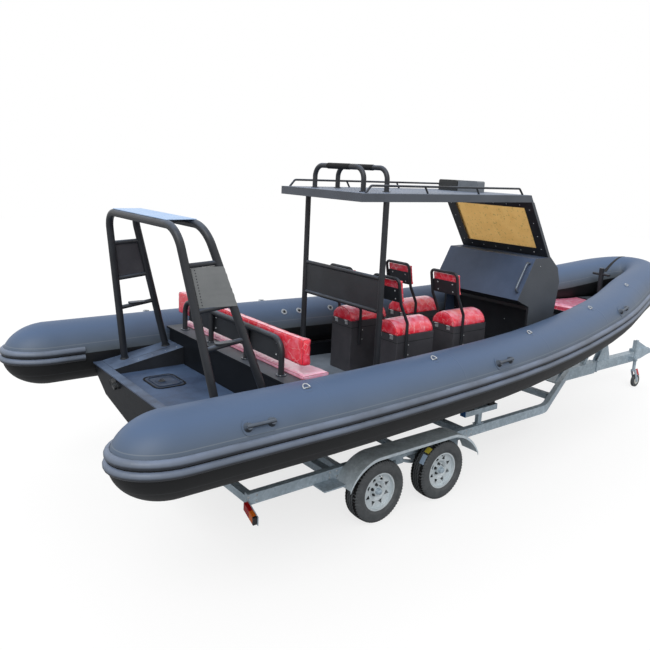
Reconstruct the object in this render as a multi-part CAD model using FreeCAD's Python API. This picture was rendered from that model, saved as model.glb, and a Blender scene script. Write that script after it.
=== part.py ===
# Rigid inflatable boat with a T-top console, parked on its tandem-axle road trailer.
# Millimetres. Lengths along the boat are stations, measured forward from the tips of
# the inflated tube. The file's origin is on the ground, halfway along, +X forward.
import FreeCAD, Part
import math
import os

V = FreeCAD.Vector

# clearances
hair = 0.3          # between pieces that seat without touching
glue_line = 0.9     # between the collar's cloth and the rubber bonded to it
run_gap = 8.0       # between a moving piece and what it passes

# inflated collar
tube_r = 301.0
tube_y = 1373.0
tube_z = 1361.0
cone_length = 410.0
straight_end = 1530.0
bow_station = 8700.0
plan_power = 1.628
plan_tip = 8705.0
nose_bend = 300.0
nose_taper = 29.0
taper_start = 7500.0
panel_sag = 1.5       # how far a straight cloth panel leaves the curve
sheer_start = 3678.0
sheer_rise = 447.0
strake_depth = 26.0
strake_height = 64.0
strake_groove = 8.0
strake_lift = 24.0
strake_inner_end = 675.0
strake_turn = 9.0     # degrees of plan angle per strake length round the stern
handle_stations = (950.0, 3705.0, 6520.0)
handle_angle = 34.0
handle_length = 190.0
handle_rod = 26.0

# hull
keel_z = 600.0
chine_z = 950.0
chine_inset = 92.0
keel_rise_start = 5000.0
hull_end = 8600.0
stem_z = 1400.0
transom_foot = 960.0
transom_lean = 0.281
deck_z = 1030.0
deck_plate = 20.0
hull_wall = 40.0
bow_deck_start = 6600.0
bow_deck_z = 1380.0
side_joints = (1549.0, 2400.0, 3200.0, 3800.0, 4400.0, 5000.0, 5400.0, 5800.0, 6200.0, 6600.0)

# stern well
transom_top = 1290.0
transom_plate = 60.0
well_floor_z = 1240.0
well_half = 740.0
stern_box_fore_z = 1418.0
hatch_x = 1155.0
hatch_y = 330.0
hatch_dx = 310.0
hatch_dy = 370.0
hatch_corner = 70.0
hatch_rim = 14.0
hatch_lid_plate = 12.0
hatch_lid_rise = 6.0     # how far the lid stands above the well floor
hatch_ledge = 11.0       # how far the lid rests on its ledge
lid_gap = 5.0            # round the lid's edge

# bench locker
bench_aft = 1549.0
bench_depth = 421.0
bench_top = 1560.0
bench_flange = 18.0
bench_half = tube_y - tube_r - 8.0
bench_flange_half = bench_half + 42.0
back_tube = 50.0
back_x = 1630.0
back_half = 873.0
back_inner_leg = 322.0
back_top = 1862.0
back_panel_plate = 12.0
back_cushion = (90.0, 2226.0, 230.0)
back_cushion_z = 1685.0
seat_pad_depth = 270.0
seat_pad_height = 36.0

# stern arch
arch_tube = 66.0
arch_foot_y = 945.0
arch_top_y = 690.0
arch_top_z = 2783.0
arch_aft = (1018.0, 782.0)
arch_fore = (1448.0, 1015.0)
arch_bend = 190.0
arch_rungs = (0.365, 0.565, 0.80)
rung_tube = 40.0
arch_sheet = 5.0

# T-top
roof_aft = 2603.0
roof_fore = 5101.0
roof_half = 640.0
roof_top = 3038.0
roof_edge = 80.0
roof_skin = 25.0
post_x = 2934.0
post_tube = 58.0
post_y = roof_half - post_tube / 2
lean_low = 1888.0
lean_high = 2252.0
lean_tube = 40.0
lean_plate = 10.0
hoop_stations = (2840.0, 3140.0)
hoop_half = 380.0
hoop_rise = 252.0
hoop_top = roof_top + hoop_rise
hoop_tube = 50.0
hoop_bend = 115.0
rail_tube = 22.0
rail_y = roof_half - 40.0
rail_rise = 67.0
rail_z = roof_top + rail_rise
lamp_x = 4700.0
lamp_size = (130.0, 285.0, 125.0)
lamp_gap = 12.0

# console and windscreen
console_half = 648.0
console_aft = 5250.0
console_fore = 5763.0
dash_low = (5023.0, 1845.0)
dash_high = (5290.0, 2313.0)
ridge_fore = (5585.0, 2318.0)
brow = (5749.0, 2184.0)
nose = (5813.0, 2009.0)
chin = (5763.0, 1625.0)
under_dash_z = 1748.0
footwell_depth = 200.0
footwell_wall = 30.0
screen_foot_x = 5575.0
screen_half = 648.0
screen_opening_half = 520.0
screen_opening_z = (ridge_fore[1] + 97.0, roof_top - 151.0)
screen_thick = 48.0
pane_thick = 8.0

# four jockey seats
seat_rears = (3272.0, 4119.0)
seat_y = 360.0
seat_half = 170.0
seat_length = 531.0
seat_top = 1606.0
saddle_height = 150.0
saddle_side = 35.0
seat_tube = 32.0
seat_bend = 48.0
seat_leg_x = 112.0
seat_leg_down = 260.0
seat_kink_up = 130.0
seat_back_low = 330.0
seat_back_high = 590.0
seat_back_lean = 50.0
seat_board = 10.0
seat_board_top = 492.0
seat_pad = 55.0
seat_pad_half = 180.0
hinge_barrel_r = 6.7
hinge_length = 46.0
hinge_spread = 85.0

# bow
bow_locker_aft = 6830.0
bow_locker_fore = 7700.0
bow_locker_half = (450.0, 262.0)
bow_locker_z = 1440.0
bow_pad_height = 62.0
step_fore = 8140.0
step_half = (240.0, 140.0)
step_z = 1500.0
bitt_x = 7880.0
bitt_dia = 70.0
bitt_top = 1963.0
bitt_bar_z = 1870.0
bitt_bar = 260.0

# trailer frame
rail_outer = 850.0
rail_width = 60.0
rail_low = 465.0
rail_high = 565.0
rail_rear = 1359.0
bend_station = 5520.0
nose_station = 7100.0
nose_y = 110.0
drawbar_half = 60.0
drawbar_low = 385.0
drawbar_high = 530.0
sleeve_aft = 6900.0
sleeve_fore = 7900.0
sleeve_wall = 12.0
beam_stations = (1400.0, 2260.0, 4120.0, 6000.0)
beam_width = 80.0
beam_height = 70.0
keel_pad_width = 120.0
bunk_x = 4322.0
bunk_length = 520.0
bunk_y = 800.0
bunk_width = 70.0
bunk_low = 690.0
bunk_height = 60.0

# wheels
axle_mid = 3098.0
axle_spacing = 847.0
wheel_y = 967.5
tyre_r = 307.5
tyre_width = 185.0
rim_seat_r = 176.0
rim_lip_r = 193.0
rim_width = 150.0
rim_plate = 5.0
disc_holes = 8
stub_dia = 50.0
axle_box = 60.0
spring_width = 46.0
spring_thick = 24.0
guard_plate = 4.0
guard_outer = 1076.0
guard_flat_z = 675.0
guard_low = (435.0, 395.0)  # height of its aft and fore ends
guard_skirt = 30.0
step_drop = 90.0      # from the rail's top to the tread step
lamp_tilt = 25.0      # degrees that the lamp bar falls outboard

# front of the trailer
bow_to_post = 365.0      # from the collar's tip back to the bow post's foot
post_foot = 330.0
post_waist = 230.0       # how high above the drawbar the post narrows
bar_ahead = 835.0        # how far the drawbar runs ahead of the bow post
coupling_length = 445.0
coupling_rise = 170.0
post_fore = plan_tip - bow_to_post
drawbar_end = post_fore + bar_ahead
coupling_tip = drawbar_end + coupling_length
coupling_top = (drawbar_end + 10.0, drawbar_high + coupling_rise)
tow_ball = 50.0
ball_back = 60.0
ball_drop = 78.0
ball_x = coupling_tip - ball_back
ball_z = drawbar_high - ball_drop
stem_back = 250.0
stem_x = drawbar_end - stem_back
stem_y = -148.0
stem_dia = 48.0
stem_top = 773.0
stem_low = 290.0
caster_r = 100.0
caster_width = 46.0
caster_trail = 88.0
caster_pin = 14.0

origin_x = (coupling_tip - strake_depth) / 2.0


def save(name, *solids):
    shape = solids[0] if len(solids) == 1 else Part.makeCompound(list(solids))
    shape = shape.copy()
    shape.translate(V(-origin_x, 0, 0))
    shape.exportStep("parts/" + name + ".step")


def block(x0, x1, y0, y1, z0, z1):
    return Part.makeBox(x1 - x0, y1 - y0, z1 - z0, V(x0, y0, z0))


def side_prism(points, y0, y1):
    corners = [V(x, y0, z) for x, z in points]
    face = Part.Face(Part.makePolygon(corners + corners[:1]))
    return face.extrude(V(0, y1 - y0, 0))


def plan_prism(points, z0, z1):
    corners = [V(x, y, z0) for x, y in points]
    face = Part.Face(Part.makePolygon(corners + corners[:1]))
    return face.extrude(V(0, 0, z1 - z0))


def cross_prism(points, x0, x1):
    corners = [V(x0, y, z) for y, z in points]
    face = Part.Face(Part.makePolygon(corners + corners[:1]))
    return face.extrude(V(x1 - x0, 0, 0))


def rounded_plate(x, y, dx, dy, z0, z1, corner):
    solid = block(x - dx / 2, x + dx / 2, y - dy / 2, y + dy / 2, z0, z1)
    upright = [e for e in solid.Edges if abs(e.tangentAt(e.FirstParameter).z) > 0.9]
    return solid.makeFillet(corner, upright)


def rod(a, b, dia):
    a = V(*a)
    b = V(*b)
    return Part.makeCylinder(dia / 2, (b - a).Length, a, b - a)


def rounded_wire(points, bend):
    # straight runs joined by tangent arcs of radius bend
    pts = [V(*p) for p in points]
    edges = []
    start = pts[0]
    for before, corner, after in zip(pts, pts[1:], pts[2:]):
        back = (before - corner).normalize()
        ahead = (after - corner).normalize()
        half = back.getAngle(ahead) / 2
        run = bend / math.tan(half)
        middle = (back + ahead).normalize()
        centre = corner + middle * (bend / math.sin(half))
        first = corner + back * run
        last = corner + ahead * run
        edges.append(Part.makeLine(start, first))
        edges.append(Part.Arc(first, centre - middle * bend, last).toShape())
        start = last
    edges.append(Part.makeLine(start, pts[-1]))
    return Part.Wire(edges)


def sweep(path, profile, upright=True):
    maker = Part.BRepOffsetAPI.MakePipeShell(path)
    if upright:
        maker.setBiNormalMode(V(0, 0, 1))
    maker.add(profile)
    maker.build()
    maker.makeSolid()
    return maker.shape()


def bent_tube(points, bend, dia):
    path = rounded_wire(points, bend)
    start = V(*points[0])
    ahead = V(*points[1]) - start
    ring = Part.Wire([Part.makeCircle(dia / 2, start, ahead)])
    return path.makePipeShell([ring], True, False)


def join(solids):
    whole = solids[0]
    if len(solids) > 1:
        whole = whole.fuse(solids[1:])
    return whole.removeSplitter()


def largest(shape):
    return sorted(shape.Solids, key=lambda solid: solid.Volume)[-1]


def mirrored(shape):
    return shape.mirror(V(0, 0, 0), V(0, 1, 0))


# The collar's centreline: straight aft, then tapering sides that close round a blunt
# nose and rise with the sheer.
def sheer(x):
    ahead = max(0.0, x - sheer_start) / (bow_station - sheer_start)
    return tube_z + sheer_rise * ahead ** 2


def girth(x):
    # the tube's radius, which shrinks a little towards the nose
    share = max(0.0, x - taper_start) / (bow_station - taper_start)
    return tube_r - nose_taper * share ** 2


def collar_curve():
    points = [V(cone_length, -tube_y, tube_z), V((cone_length + straight_end) / 2, -tube_y, tube_z)]
    for degrees in (0, 16, 30, 42, 53, 64):
        angle = math.radians(degrees)
        x = straight_end + (plan_tip - straight_end) * math.sin(angle) ** (2 / plan_power)
        y = tube_y * math.cos(angle) ** (2 / plan_power)
        points.append(V(x, -y, sheer(x)))
    for degrees in (60, 30):
        angle = math.radians(degrees)
        x = bow_station - nose_bend * (1 - math.cos(angle))
        points.append(V(x, -nose_bend * math.sin(angle), sheer(x)))
    port = [V(p.x, -p.y, p.z) for p in reversed(points)]
    points += [V(bow_station, 0, sheer(bow_station))] + port
    curve = Part.BSplineCurve()
    curve.interpolate(Points=points, InitialTangent=V(1, 0, 0), FinalTangent=V(-1, 0, 0))
    return curve


collar_axis = collar_curve()
collar_start = collar_axis.FirstParameter
collar_finish = collar_axis.LastParameter
nose_knot = (collar_start + collar_finish) / 2


def collar_stops():
    # where one straight cloth panel ends and the next begins, from one stern tip to the other
    stops = [collar_start]
    before = collar_start
    steps = 1200
    for step in range(1, steps + 1):
        u = collar_start + (nose_knot - collar_start) * step / steps
        a = collar_axis.value(stops[-1])
        b = collar_axis.value(u)
        middle = collar_axis.value((stops[-1] + u) / 2)
        if middle.distanceToLine(a, b - a) > panel_sag:
            stops.append(before)
        before = u
    stops[-1] = (stops[-2] + nose_knot) / 2
    port = [collar_start + collar_finish - u for u in reversed(stops)]
    return stops + [nose_knot] + port


panel_ends = collar_stops()


def axis_at(x):
    # the curve parameter of station x on the starboard side
    low = collar_start
    high = nose_knot
    for _ in range(40):
        middle = (low + high) / 2
        if collar_axis.value(middle).x < x:
            low = middle
        else:
            high = middle
    return low


def axis_half_width(x):
    # half distance between the tube centrelines, and the cosine of their angle to X
    u = axis_at(x)
    return -collar_axis.value(u).y, collar_axis.tangent(u)[0].x


def cross_frame(u):
    # centre, outboard and upward directions of the tube's cross-section
    ahead = collar_axis.tangent(u)[0].normalize()
    out = ahead.cross(V(0, 0, 1)).normalize()
    return collar_axis.value(u), out, out.cross(ahead)


def tube_ring(u, extra):
    centre, out, up = cross_frame(u)
    r = girth(centre.x) + extra
    high = Part.Arc(centre + out * r, centre + up * r, centre - out * r).toShape()
    low = Part.Arc(centre - out * r, centre - up * r, centre + out * r).toShape()
    return Part.Wire([high, low])


def tube_panels(extra):
    return Part.makeLoft([tube_ring(u, extra) for u in panel_ends], True, True)


def stern_cone():
    # half an ellipse turned about the tube's straight end
    centre = V(cone_length, -tube_y, tube_z)
    tip = V(0, -tube_y, tube_z)
    rim = V(cone_length, -tube_y, tube_z + tube_r)
    curve = Part.ArcOfEllipse(Part.Ellipse(tip, rim, centre), 0, math.pi / 2).toShape()
    face = Part.Face(Part.Wire([curve, Part.makeLine(rim, centre), Part.makeLine(centre, tip)]))
    return face.revolve(centre, V(1, 0, 0), 360)


def buoyancy_tube():
    cone = stern_cone()
    return join([tube_panels(0.0), cone, mirrored(cone)])


# Each strake place is a function of the angle up from the tube's waist and the height off
# its cloth, so that the strake's back follows the tube.
def place_on_straight(x):
    def point(waist, lift):
        r = tube_r + lift
        return V(x, -tube_y + r * math.cos(waist), tube_z + r * math.sin(waist))
    return point


def place_on_cone(degrees):
    turn = math.radians(degrees)

    def point(waist, lift):
        flat = math.cos(waist)
        base = V(cone_length * (1 - math.sin(turn) * flat), -tube_y + tube_r * math.cos(turn) * flat,
                 tube_z + tube_r * math.sin(waist))
        normal = V(-math.sin(turn) * flat / cone_length, math.cos(turn) * flat / tube_r,
                   math.sin(waist) / tube_r).normalize()
        return base + normal * (lift + panel_sag)
    return point


def place_on_tube(u):
    centre, out, up = cross_frame(u)

    def point(waist, lift):
        return centre + (out * math.cos(waist) + up * math.sin(waist)) * (girth(centre.x) + lift)
    return point


def mirror_place(place):
    def point(waist, lift):
        p = place(waist, lift)
        return V(p.x, -p.y, p.z)
    return point


def strake_places():
    # from the inner side of one stern end, round its tip and the bow, to the other
    places = [place_on_straight(strake_inner_end)]
    count = int(round(180 / strake_turn))
    places += [place_on_cone(180.0 * i / count) for i in range(count + 1)]
    places += [place_on_tube(u) for u in panel_ends[1:] if u <= nose_knot]
    return places + [mirror_place(p) for p in reversed(places[:-1])]


def strake_wire(place, near, far):
    middle = (near + far) / 2
    low = place(near, glue_line)
    high = place(far, glue_line)
    face = Part.Arc(low, place(middle, strake_depth), high).toShape()
    back = Part.Arc(high, place(middle, glue_line), low).toShape()
    return Part.Wire([face, back])


def rub_strakes():
    solids = []
    for side in (-1, 1):
        near = strake_lift + side * strake_groove / 2
        far = near + side * strake_height
        angles = [math.asin(offset / tube_r) for offset in (near, far)]
        wires = [strake_wire(place, *angles) for place in strake_places()]
        solids.append(Part.makeLoft(wires, True, True))
    return solids


def grab_handle(r):
    # a moulded carrying handle, a bar on two feet over an oval patch that follows a tube of radius r
    skin = r + glue_line
    patch = rounded_plate(0, 0, handle_length + 90, 120, r - 40, r + 40, 55)
    length = handle_length + 200
    start = V(-length / 2, 0, 0)
    shell = Part.makeCylinder(skin + 4, length, start, V(1, 0, 0))
    shell = shell.cut(Part.makeCylinder(skin, length, start, V(1, 0, 0)))
    local = [patch.common(shell)]
    for end in (-1, 1):
        local.append(Part.makeCone(34, 24, 32, V(end * handle_length / 2, 0, skin + 2.4), V(0, 0, 1)))
    bar_z = skin + 31
    local.append(rod((-handle_length / 2 - 20, 0, bar_z), (handle_length / 2 + 20, 0, bar_z), handle_rod))
    return join(local)


def grab_handles():
    # each sits on the straight cloth panel at its station, and is trimmed to the panels beside it
    angle = math.radians(handle_angle)
    cloth = tube_panels(glue_line)
    solids = []
    for station in handle_stations:
        u = axis_at(station)
        fore = [i for i, end in enumerate(panel_ends) if end > u][0]
        a = collar_axis.value(panel_ends[fore - 1])
        b = collar_axis.value(panel_ends[fore])
        ahead = (b - a).normalize()
        out = ahead.cross(V(0, 0, 1)).normalize()
        away = out * math.cos(angle) + out.cross(ahead) * math.sin(angle)
        side = away.cross(ahead)
        share = (station - a.x) / (b.x - a.x)
        centre = a + (b - a) * min(max(share, 0.0), 1.0)
        turn = FreeCAD.Matrix(ahead.x, side.x, away.x, centre.x, ahead.y, side.y, away.y, centre.y,
                              ahead.z, side.z, away.z, centre.z, 0, 0, 0, 1)
        handle = grab_handle(max(girth(a.x), girth(b.x))).transformed(turn)
        handle = largest(handle.cut(cloth))
        solids += [handle, mirrored(handle)]
    return solids


# Hull sections run from keel to chine to the seat under the tube.
def tube_seat(x):
    share = max(0.0, x - keel_rise_start) / (hull_end - keel_rise_start)
    angle = math.radians(40 + 45 * share ** 2)
    half, cosine = axis_half_width(x)
    reach = girth(x) + hair + panel_sag
    return half - reach * math.cos(angle) / cosine, sheer(x) - reach * math.sin(angle)


def section(x):
    share = max(0.0, x - keel_rise_start) / (hull_end - keel_rise_start)
    keel = keel_z + (stem_z - keel_z) * share ** 2.2
    seat_half_width, seat_z = tube_seat(x)
    chine_half = (seat_half_width - chine_inset) * (1 - 0.35 * share ** 3)
    chine = chine_z + (seat_z - 35 - chine_z) * share ** 1.6
    return keel, chine_half, chine, seat_half_width, seat_z


def hull_half_width(x, z):
    keel, chine_half, chine, seat_half_width, seat_z = section(x)
    if z < chine:
        return chine_half * (z - keel) / (chine - keel)
    return chine_half + (seat_half_width - chine_half) * (z - chine) / (seat_z - chine)


def hull_wire(x):
    keel, chine_half, chine, seat_half_width, seat_z = section(x)
    lip_z = seat_z + 12
    lip_half = seat_half_width - 60
    if bow_deck_start <= x and lip_z < bow_deck_z:
        half, cosine = axis_half_width(x)
        drop = sheer(x) - bow_deck_z
        lip_z = bow_deck_z
        lip_half = half - math.sqrt((girth(x) + 2) ** 2 - drop ** 2) / cosine
    outline = [(0, keel), (chine_half, chine), (seat_half_width, seat_z), (max(lip_half, 20), lip_z)]
    outline += [(-y, z) for y, z in reversed(outline[1:])]
    lean = transom_lean if x <= transom_foot else 0.0
    corners = [V(x - lean * (z - keel), y, z) for y, z in outline]
    return Part.makePolygon(corners + corners[:1])


hull_stations = (transom_foot, 1600.0, 2400.0, 3200.0, 3800.0, 4400.0, 5000.0, 5400.0, 5800.0, 6200.0,
                 6550.0, bow_deck_start, bow_locker_aft, 7200.0, bow_locker_fore, 8000.0, 8250.0, 8450.0,
                 hull_end)
cockpit_stations = [bench_aft] + [x for x in hull_stations if bench_aft < x <= bow_deck_start]


def cockpit_outline(inset):
    side = []
    for x in cockpit_stations:
        end = inset if x == cockpit_stations[-1] else 0.0
        start = inset if x == cockpit_stations[0] else 0.0
        wide = hull_half_width(x, deck_z - deck_plate) - hull_wall - inset
        side.append((x - end + start, wide))
    return side + [(x, -y) for x, y in reversed(side)]


def hull():
    shell = Part.makeLoft([hull_wire(x) for x in hull_stations], True, True)
    cockpit = plan_prism(cockpit_outline(0.0), deck_z - deck_plate, tube_z + sheer_rise)
    return largest(shell.cut(cockpit).cut(tube_clearance))


def hull_mouldings(whole):
    # the bottom up to the deck, and above it the stern, side and bow mouldings
    deck = deck_z - deck_plate
    ends = [0.0] + list(side_joints) + [coupling_tip]
    wide = tube_y + tube_r
    solids = [whole.common(block(0, coupling_tip, -wide, wide, 0, deck))]
    for aft, fore in zip(ends, ends[1:]):
        part = whole.common(block(aft, fore, -wide, wide, deck, tube_z + sheer_rise))
        solids += part.Solids
    return solids


def deck_sole():
    return plan_prism(cockpit_outline(1.0), deck_z - deck_plate, deck_z)


stern_deck = tube_seat(straight_end)[1] + 12


def transom_x(z):
    return transom_foot - transom_lean * (z - keel_z)


def box_top(x):
    # the stern boxes rise from the transom to the bench
    aft = transom_x(transom_top) + transom_plate
    return transom_top + (stern_box_fore_z - transom_top) * (x - aft) / (bench_aft - aft)


tube_clearance = tube_panels(hair + 0.2)


def engine_well():
    low = transom_x(stern_deck)
    high = transom_x(transom_top)
    outline = [(low, stern_deck), (low + transom_plate, stern_deck), (high + transom_plate, transom_top),
               (high, transom_top)]
    transom = side_prism(outline, -1110, 1110)
    cap = block(high - 12, high + transom_plate + 12, -1110, 1110, transom_top - 12, transom_top)
    floor = block(low + 40, bench_aft, -well_half, well_half, stern_deck, well_floor_z)
    well = join([transom, cap, floor])
    ledge_z = well_floor_z + hatch_lid_rise - hatch_lid_plate - hair
    pocket = rounded_plate(hatch_x, hatch_y, hatch_dx - 2 * hatch_rim, hatch_dy - 2 * hatch_rim,
                           ledge_z, well_floor_z + 10, hatch_corner - hatch_rim)
    inset = hatch_rim + lid_gap + hatch_ledge
    hole = rounded_plate(hatch_x, hatch_y, hatch_dx - 2 * inset, hatch_dy - 2 * inset,
                         well_floor_z - 45, ledge_z + 1, hatch_corner - inset)
    return largest(well.cut(tube_clearance).cut([pocket, hole]))


def stern_boxes():
    # beside the well, from its floor level to the sloping lid, round the transom's flange
    aft_low = transom_x(stern_deck) + transom_plate
    aft_high = transom_x(transom_top) + transom_plate
    step = transom_top - 12
    outline = [(aft_low + hair, stern_deck), (bench_aft, stern_deck), (bench_aft, stern_box_fore_z),
               (aft_high + 12 + hair, box_top(aft_high + 12)), (aft_high + 12 + hair, step - hair),
               (transom_x(step) + transom_plate + hair, step - hair)]
    port = largest(side_prism(outline, well_half, 1180).cut(tube_clearance))
    return [port, mirrored(port)]


def hatch_gasket():
    outer = rounded_plate(hatch_x, hatch_y, hatch_dx, hatch_dy, well_floor_z, well_floor_z + 8, hatch_corner)
    inner = rounded_plate(hatch_x, hatch_y, hatch_dx - 2 * hatch_rim, hatch_dy - 2 * hatch_rim,
                          well_floor_z - 1, well_floor_z + 9, hatch_corner - hatch_rim)
    return outer.cut(inner)


def hatch_lid():
    inset = hatch_rim + lid_gap
    top = well_floor_z + hatch_lid_rise
    lid = rounded_plate(hatch_x, hatch_y, hatch_dx - 2 * inset, hatch_dy - 2 * inset,
                        top - hatch_lid_plate, top, hatch_corner - inset)
    bowl_r = 430.0
    bowl = Part.makeSphere(bowl_r, V(hatch_x, hatch_y, top + bowl_r - 9))
    lid = lid.cut(bowl)
    latch = rounded_plate(hatch_x - 18, hatch_y, 64, 40, top - 10, top - 1, 10)
    # two knuckles on the hinge line at the lid's forward edge
    edge = hatch_x + hatch_dx / 2 - inset
    knuckles = [rod((edge, hatch_y + y - 22, top), (edge, hatch_y + y + 22, top), 7) for y in (-75, 75)]
    return join([lid, latch] + knuckles)


def bench_locker():
    fore = bench_aft + bench_depth
    body_low = deck_z
    low = plan_prism(cockpit_outline(2.0), body_low, stern_deck)
    low = low.common(block(bench_aft + 1, fore, -bench_half, bench_half, body_low, stern_deck))
    body = block(bench_aft + 1, fore, -bench_half, bench_half, stern_deck, bench_top - bench_flange)
    flange = block(bench_aft - 14, fore + 6, -bench_flange_half, bench_flange_half,
                   bench_top - bench_flange, bench_top)
    locker = join([low, body, flange])
    return largest(locker.cut(tube_clearance))


def bench_back_frame():
    foot = bench_top
    path = [(back_x, -back_half, foot), (back_x, -back_half, back_top), (back_x, back_half, back_top),
            (back_x, back_half, foot)]
    solids = [bent_tube(path, 120, back_tube)]
    for y in (-back_inner_leg, back_inner_leg):
        solids.append(rod((back_x, y, foot), (back_x, y, back_top), back_tube))
    for y in (-back_half, -back_inner_leg, back_inner_leg, back_half):
        solids.append(Part.makeCylinder(back_tube * 0.9, 8, V(back_x, y, foot)))
    return join(solids)


def bench_back_panel():
    front = back_x + back_tube / 2
    low = back_cushion_z - 25
    high = back_top - back_tube / 2 + 10
    half = back_half - 40
    panel = block(front, front + back_panel_plate, -half, half, low, high)
    ends = [e for e in panel.Edges if abs(e.tangentAt(e.FirstParameter).x) > 0.9
            and e.CenterOfMass.z > low + 9]
    return panel.makeFillet(70, ends)


def bench_back_cushion():
    front = back_x + back_tube / 2 + back_panel_plate
    thick, width, height = back_cushion
    pad = block(front + hair, front + hair + thick, -width / 2, width / 2,
                back_cushion_z, back_cushion_z + height)
    return pad.makeFillet(14, pad.Edges)


def bench_seat_cushion():
    fore = bench_aft + bench_depth
    half = bench_half + 20
    pad = block(fore - seat_pad_depth, fore + 4, -half, half, bench_top + hair, bench_top + seat_pad_height)
    return pad.makeFillet(10, pad.Edges)


# The stern arch is two raked hoops with ladder rungs between them on each side.
def arch_leg(feet_and_top, side):
    foot_x, top_x = feet_and_top
    return V(foot_x, side * arch_foot_y, box_top(foot_x)), V(top_x, side * arch_top_y, arch_top_z)


def arch_frame():
    solids = []
    for pair in (arch_aft, arch_fore):
        star_foot, star_top = arch_leg(pair, -1)
        port_foot, port_top = arch_leg(pair, 1)
        path = [tuple(star_foot), tuple(star_top), tuple(port_top), tuple(port_foot)]
        solids.append(bent_tube(path, arch_bend, arch_tube))
    for side in (-1, 1):
        aft_foot, aft_top = arch_leg(arch_aft, side)
        fore_foot, fore_top = arch_leg(arch_fore, side)
        for share in arch_rungs:
            a = aft_foot + (aft_top - aft_foot) * share
            b = fore_foot + (fore_top - fore_foot) * share
            solids.append(rod(tuple(a), tuple(b), rung_tube))
        a = aft_foot + (aft_top - aft_foot) * arch_rungs[0]
        b = fore_foot + (fore_top - fore_foot) * arch_rungs[0]
        middle = (a + b) * 0.5
        tread = rounded_plate(middle.x, middle.y, 170, 70, middle.z + 12, middle.z + 24, 30)
        solids.append(tread)
        for foot, top in ((aft_foot, aft_top), (fore_foot, fore_top)):
            lean = (top - foot).normalize()
            rise = 30.0
            solids.append(Part.makeCone(arch_tube * 0.72, arch_tube * 0.5, rise, foot - lean * 8, lean))
    frame = join(solids)
    aft = arch_aft[0] - 300
    outline = [(aft, box_top(aft) - 300), (bench_aft, box_top(bench_aft) - 300),
               (bench_aft, box_top(bench_aft)), (aft, box_top(aft))]
    return frame.cut(side_prism(outline, -1200, 1200))


def arch_side_panels():
    solids = []
    for side in (-1, 1):
        aft_foot, aft_top = arch_leg(arch_aft, side)
        fore_foot, fore_top = arch_leg(arch_fore, side)
        corners = []
        for share, grow in ((arch_rungs[1], 1), (arch_rungs[2], -1)):
            a = aft_foot + (aft_top - aft_foot) * share
            b = fore_foot + (fore_top - fore_foot) * share
            along = (b - a).normalize()
            ends = []
            for end, inward, leg in ((a, 1, aft_top - aft_foot), (b, -1, fore_top - fore_foot)):
                up = leg.normalize()
                skew = along.cross(up).Length
                ends.append(end + along * (inward * (arch_tube / 2 + glue_line) / skew)
                            + up * (grow * (rung_tube / 2 + glue_line) / skew))
            corners += ends if grow == 1 else ends[::-1]
        normal = (corners[1] - corners[0]).cross(corners[3] - corners[0]).normalize()
        flat = [c - normal * ((c - corners[0]).dot(normal)) - normal * 3 for c in corners]
        face = Part.Face(Part.makePolygon(flat + flat[:1]))
        solids.append(face.extrude(normal * 6))
    return solids


def arch_top_plate():
    half = arch_top_y - arch_bend * 0.8
    z = arch_top_z + arch_tube / 2
    return block(arch_aft[1] - 12, arch_fore[1] + 12, -half, half, z, z + arch_sheet)


def arch_top_ties():
    # three flat straps under the sheet tie the two hoops together
    solids = []
    for y in (-360, 0, 360):
        x0 = arch_aft[1] + arch_tube / 2 - 6
        x1 = arch_fore[1] - arch_tube / 2 + 6
        z = arch_top_z + arch_tube / 2
        solids.append(block(x0, x1, y - 20, y + 20, z - 30, z))
    return solids


# T-top
def screen_x(z):
    foot_z = ridge_fore[1] + 4
    return screen_foot_x + (roof_fore - screen_foot_x) * (z - foot_z) / (roof_top - foot_z)


def roof():
    low = roof_top - roof_edge
    outline = [(roof_aft, low), (screen_x(low), low), (roof_fore, roof_top), (roof_aft, roof_top)]
    slab = side_prism(outline, -roof_half, roof_half)
    rim = 70.0
    hollow = block(roof_aft + rim + 400, roof_fore - rim, -roof_half + rim, roof_half - rim,
                   low - 1, roof_top - roof_skin)
    hollow_aft = block(roof_aft + rim, roof_aft + rim + 180, -roof_half + rim, roof_half - rim,
                       low - 1, roof_top - roof_skin)
    slab = slab.cut(hollow).cut(hollow_aft)
    edges = [e for e in slab.Edges if abs(e.tangentAt(e.FirstParameter).x) > 0.9
             and e.CenterOfMass.z > roof_top - 1 and abs(e.CenterOfMass.y) > roof_half - 1]
    return slab.makeFillet(8, edges)


def roof_posts():
    solids = []
    under = roof_top - roof_edge
    for side in (-1, 1):
        y = side * post_y
        post = rod((post_x, y, deck_z), (post_x, y, under), post_tube)
        flange = Part.makeCylinder(post_tube * 0.95, 10, V(post_x, y, deck_z))
        solids.append(join([post, flange]))
    return solids


def lean_panel():
    span = post_y - post_tube / 2 - hair
    solids = []
    for z in (lean_low + lean_tube / 2, lean_high - lean_tube / 2):
        solids.append(rod((post_x, -span, z), (post_x, span, z), lean_tube))
    plate = block(post_x - lean_plate / 2, post_x + lean_plate / 2, -span, span,
                  lean_low + 10, lean_high - 10)
    return join(solids + [plate])


def roof_hoops():
    solids = []
    axis_z = hoop_top - hoop_tube / 2
    for x in hoop_stations:
        path = [(x, -hoop_half, roof_top), (x, -hoop_half, axis_z), (x, hoop_half, axis_z),
                (x, hoop_half, roof_top)]
        hoop = [bent_tube(path, hoop_bend, hoop_tube)]
        for y in (-hoop_half, hoop_half):
            hoop.append(Part.makeCylinder(hoop_tube * 0.8, 6, V(x, y, roof_top)))
        solids.append(join(hoop))
    return solids


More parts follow.
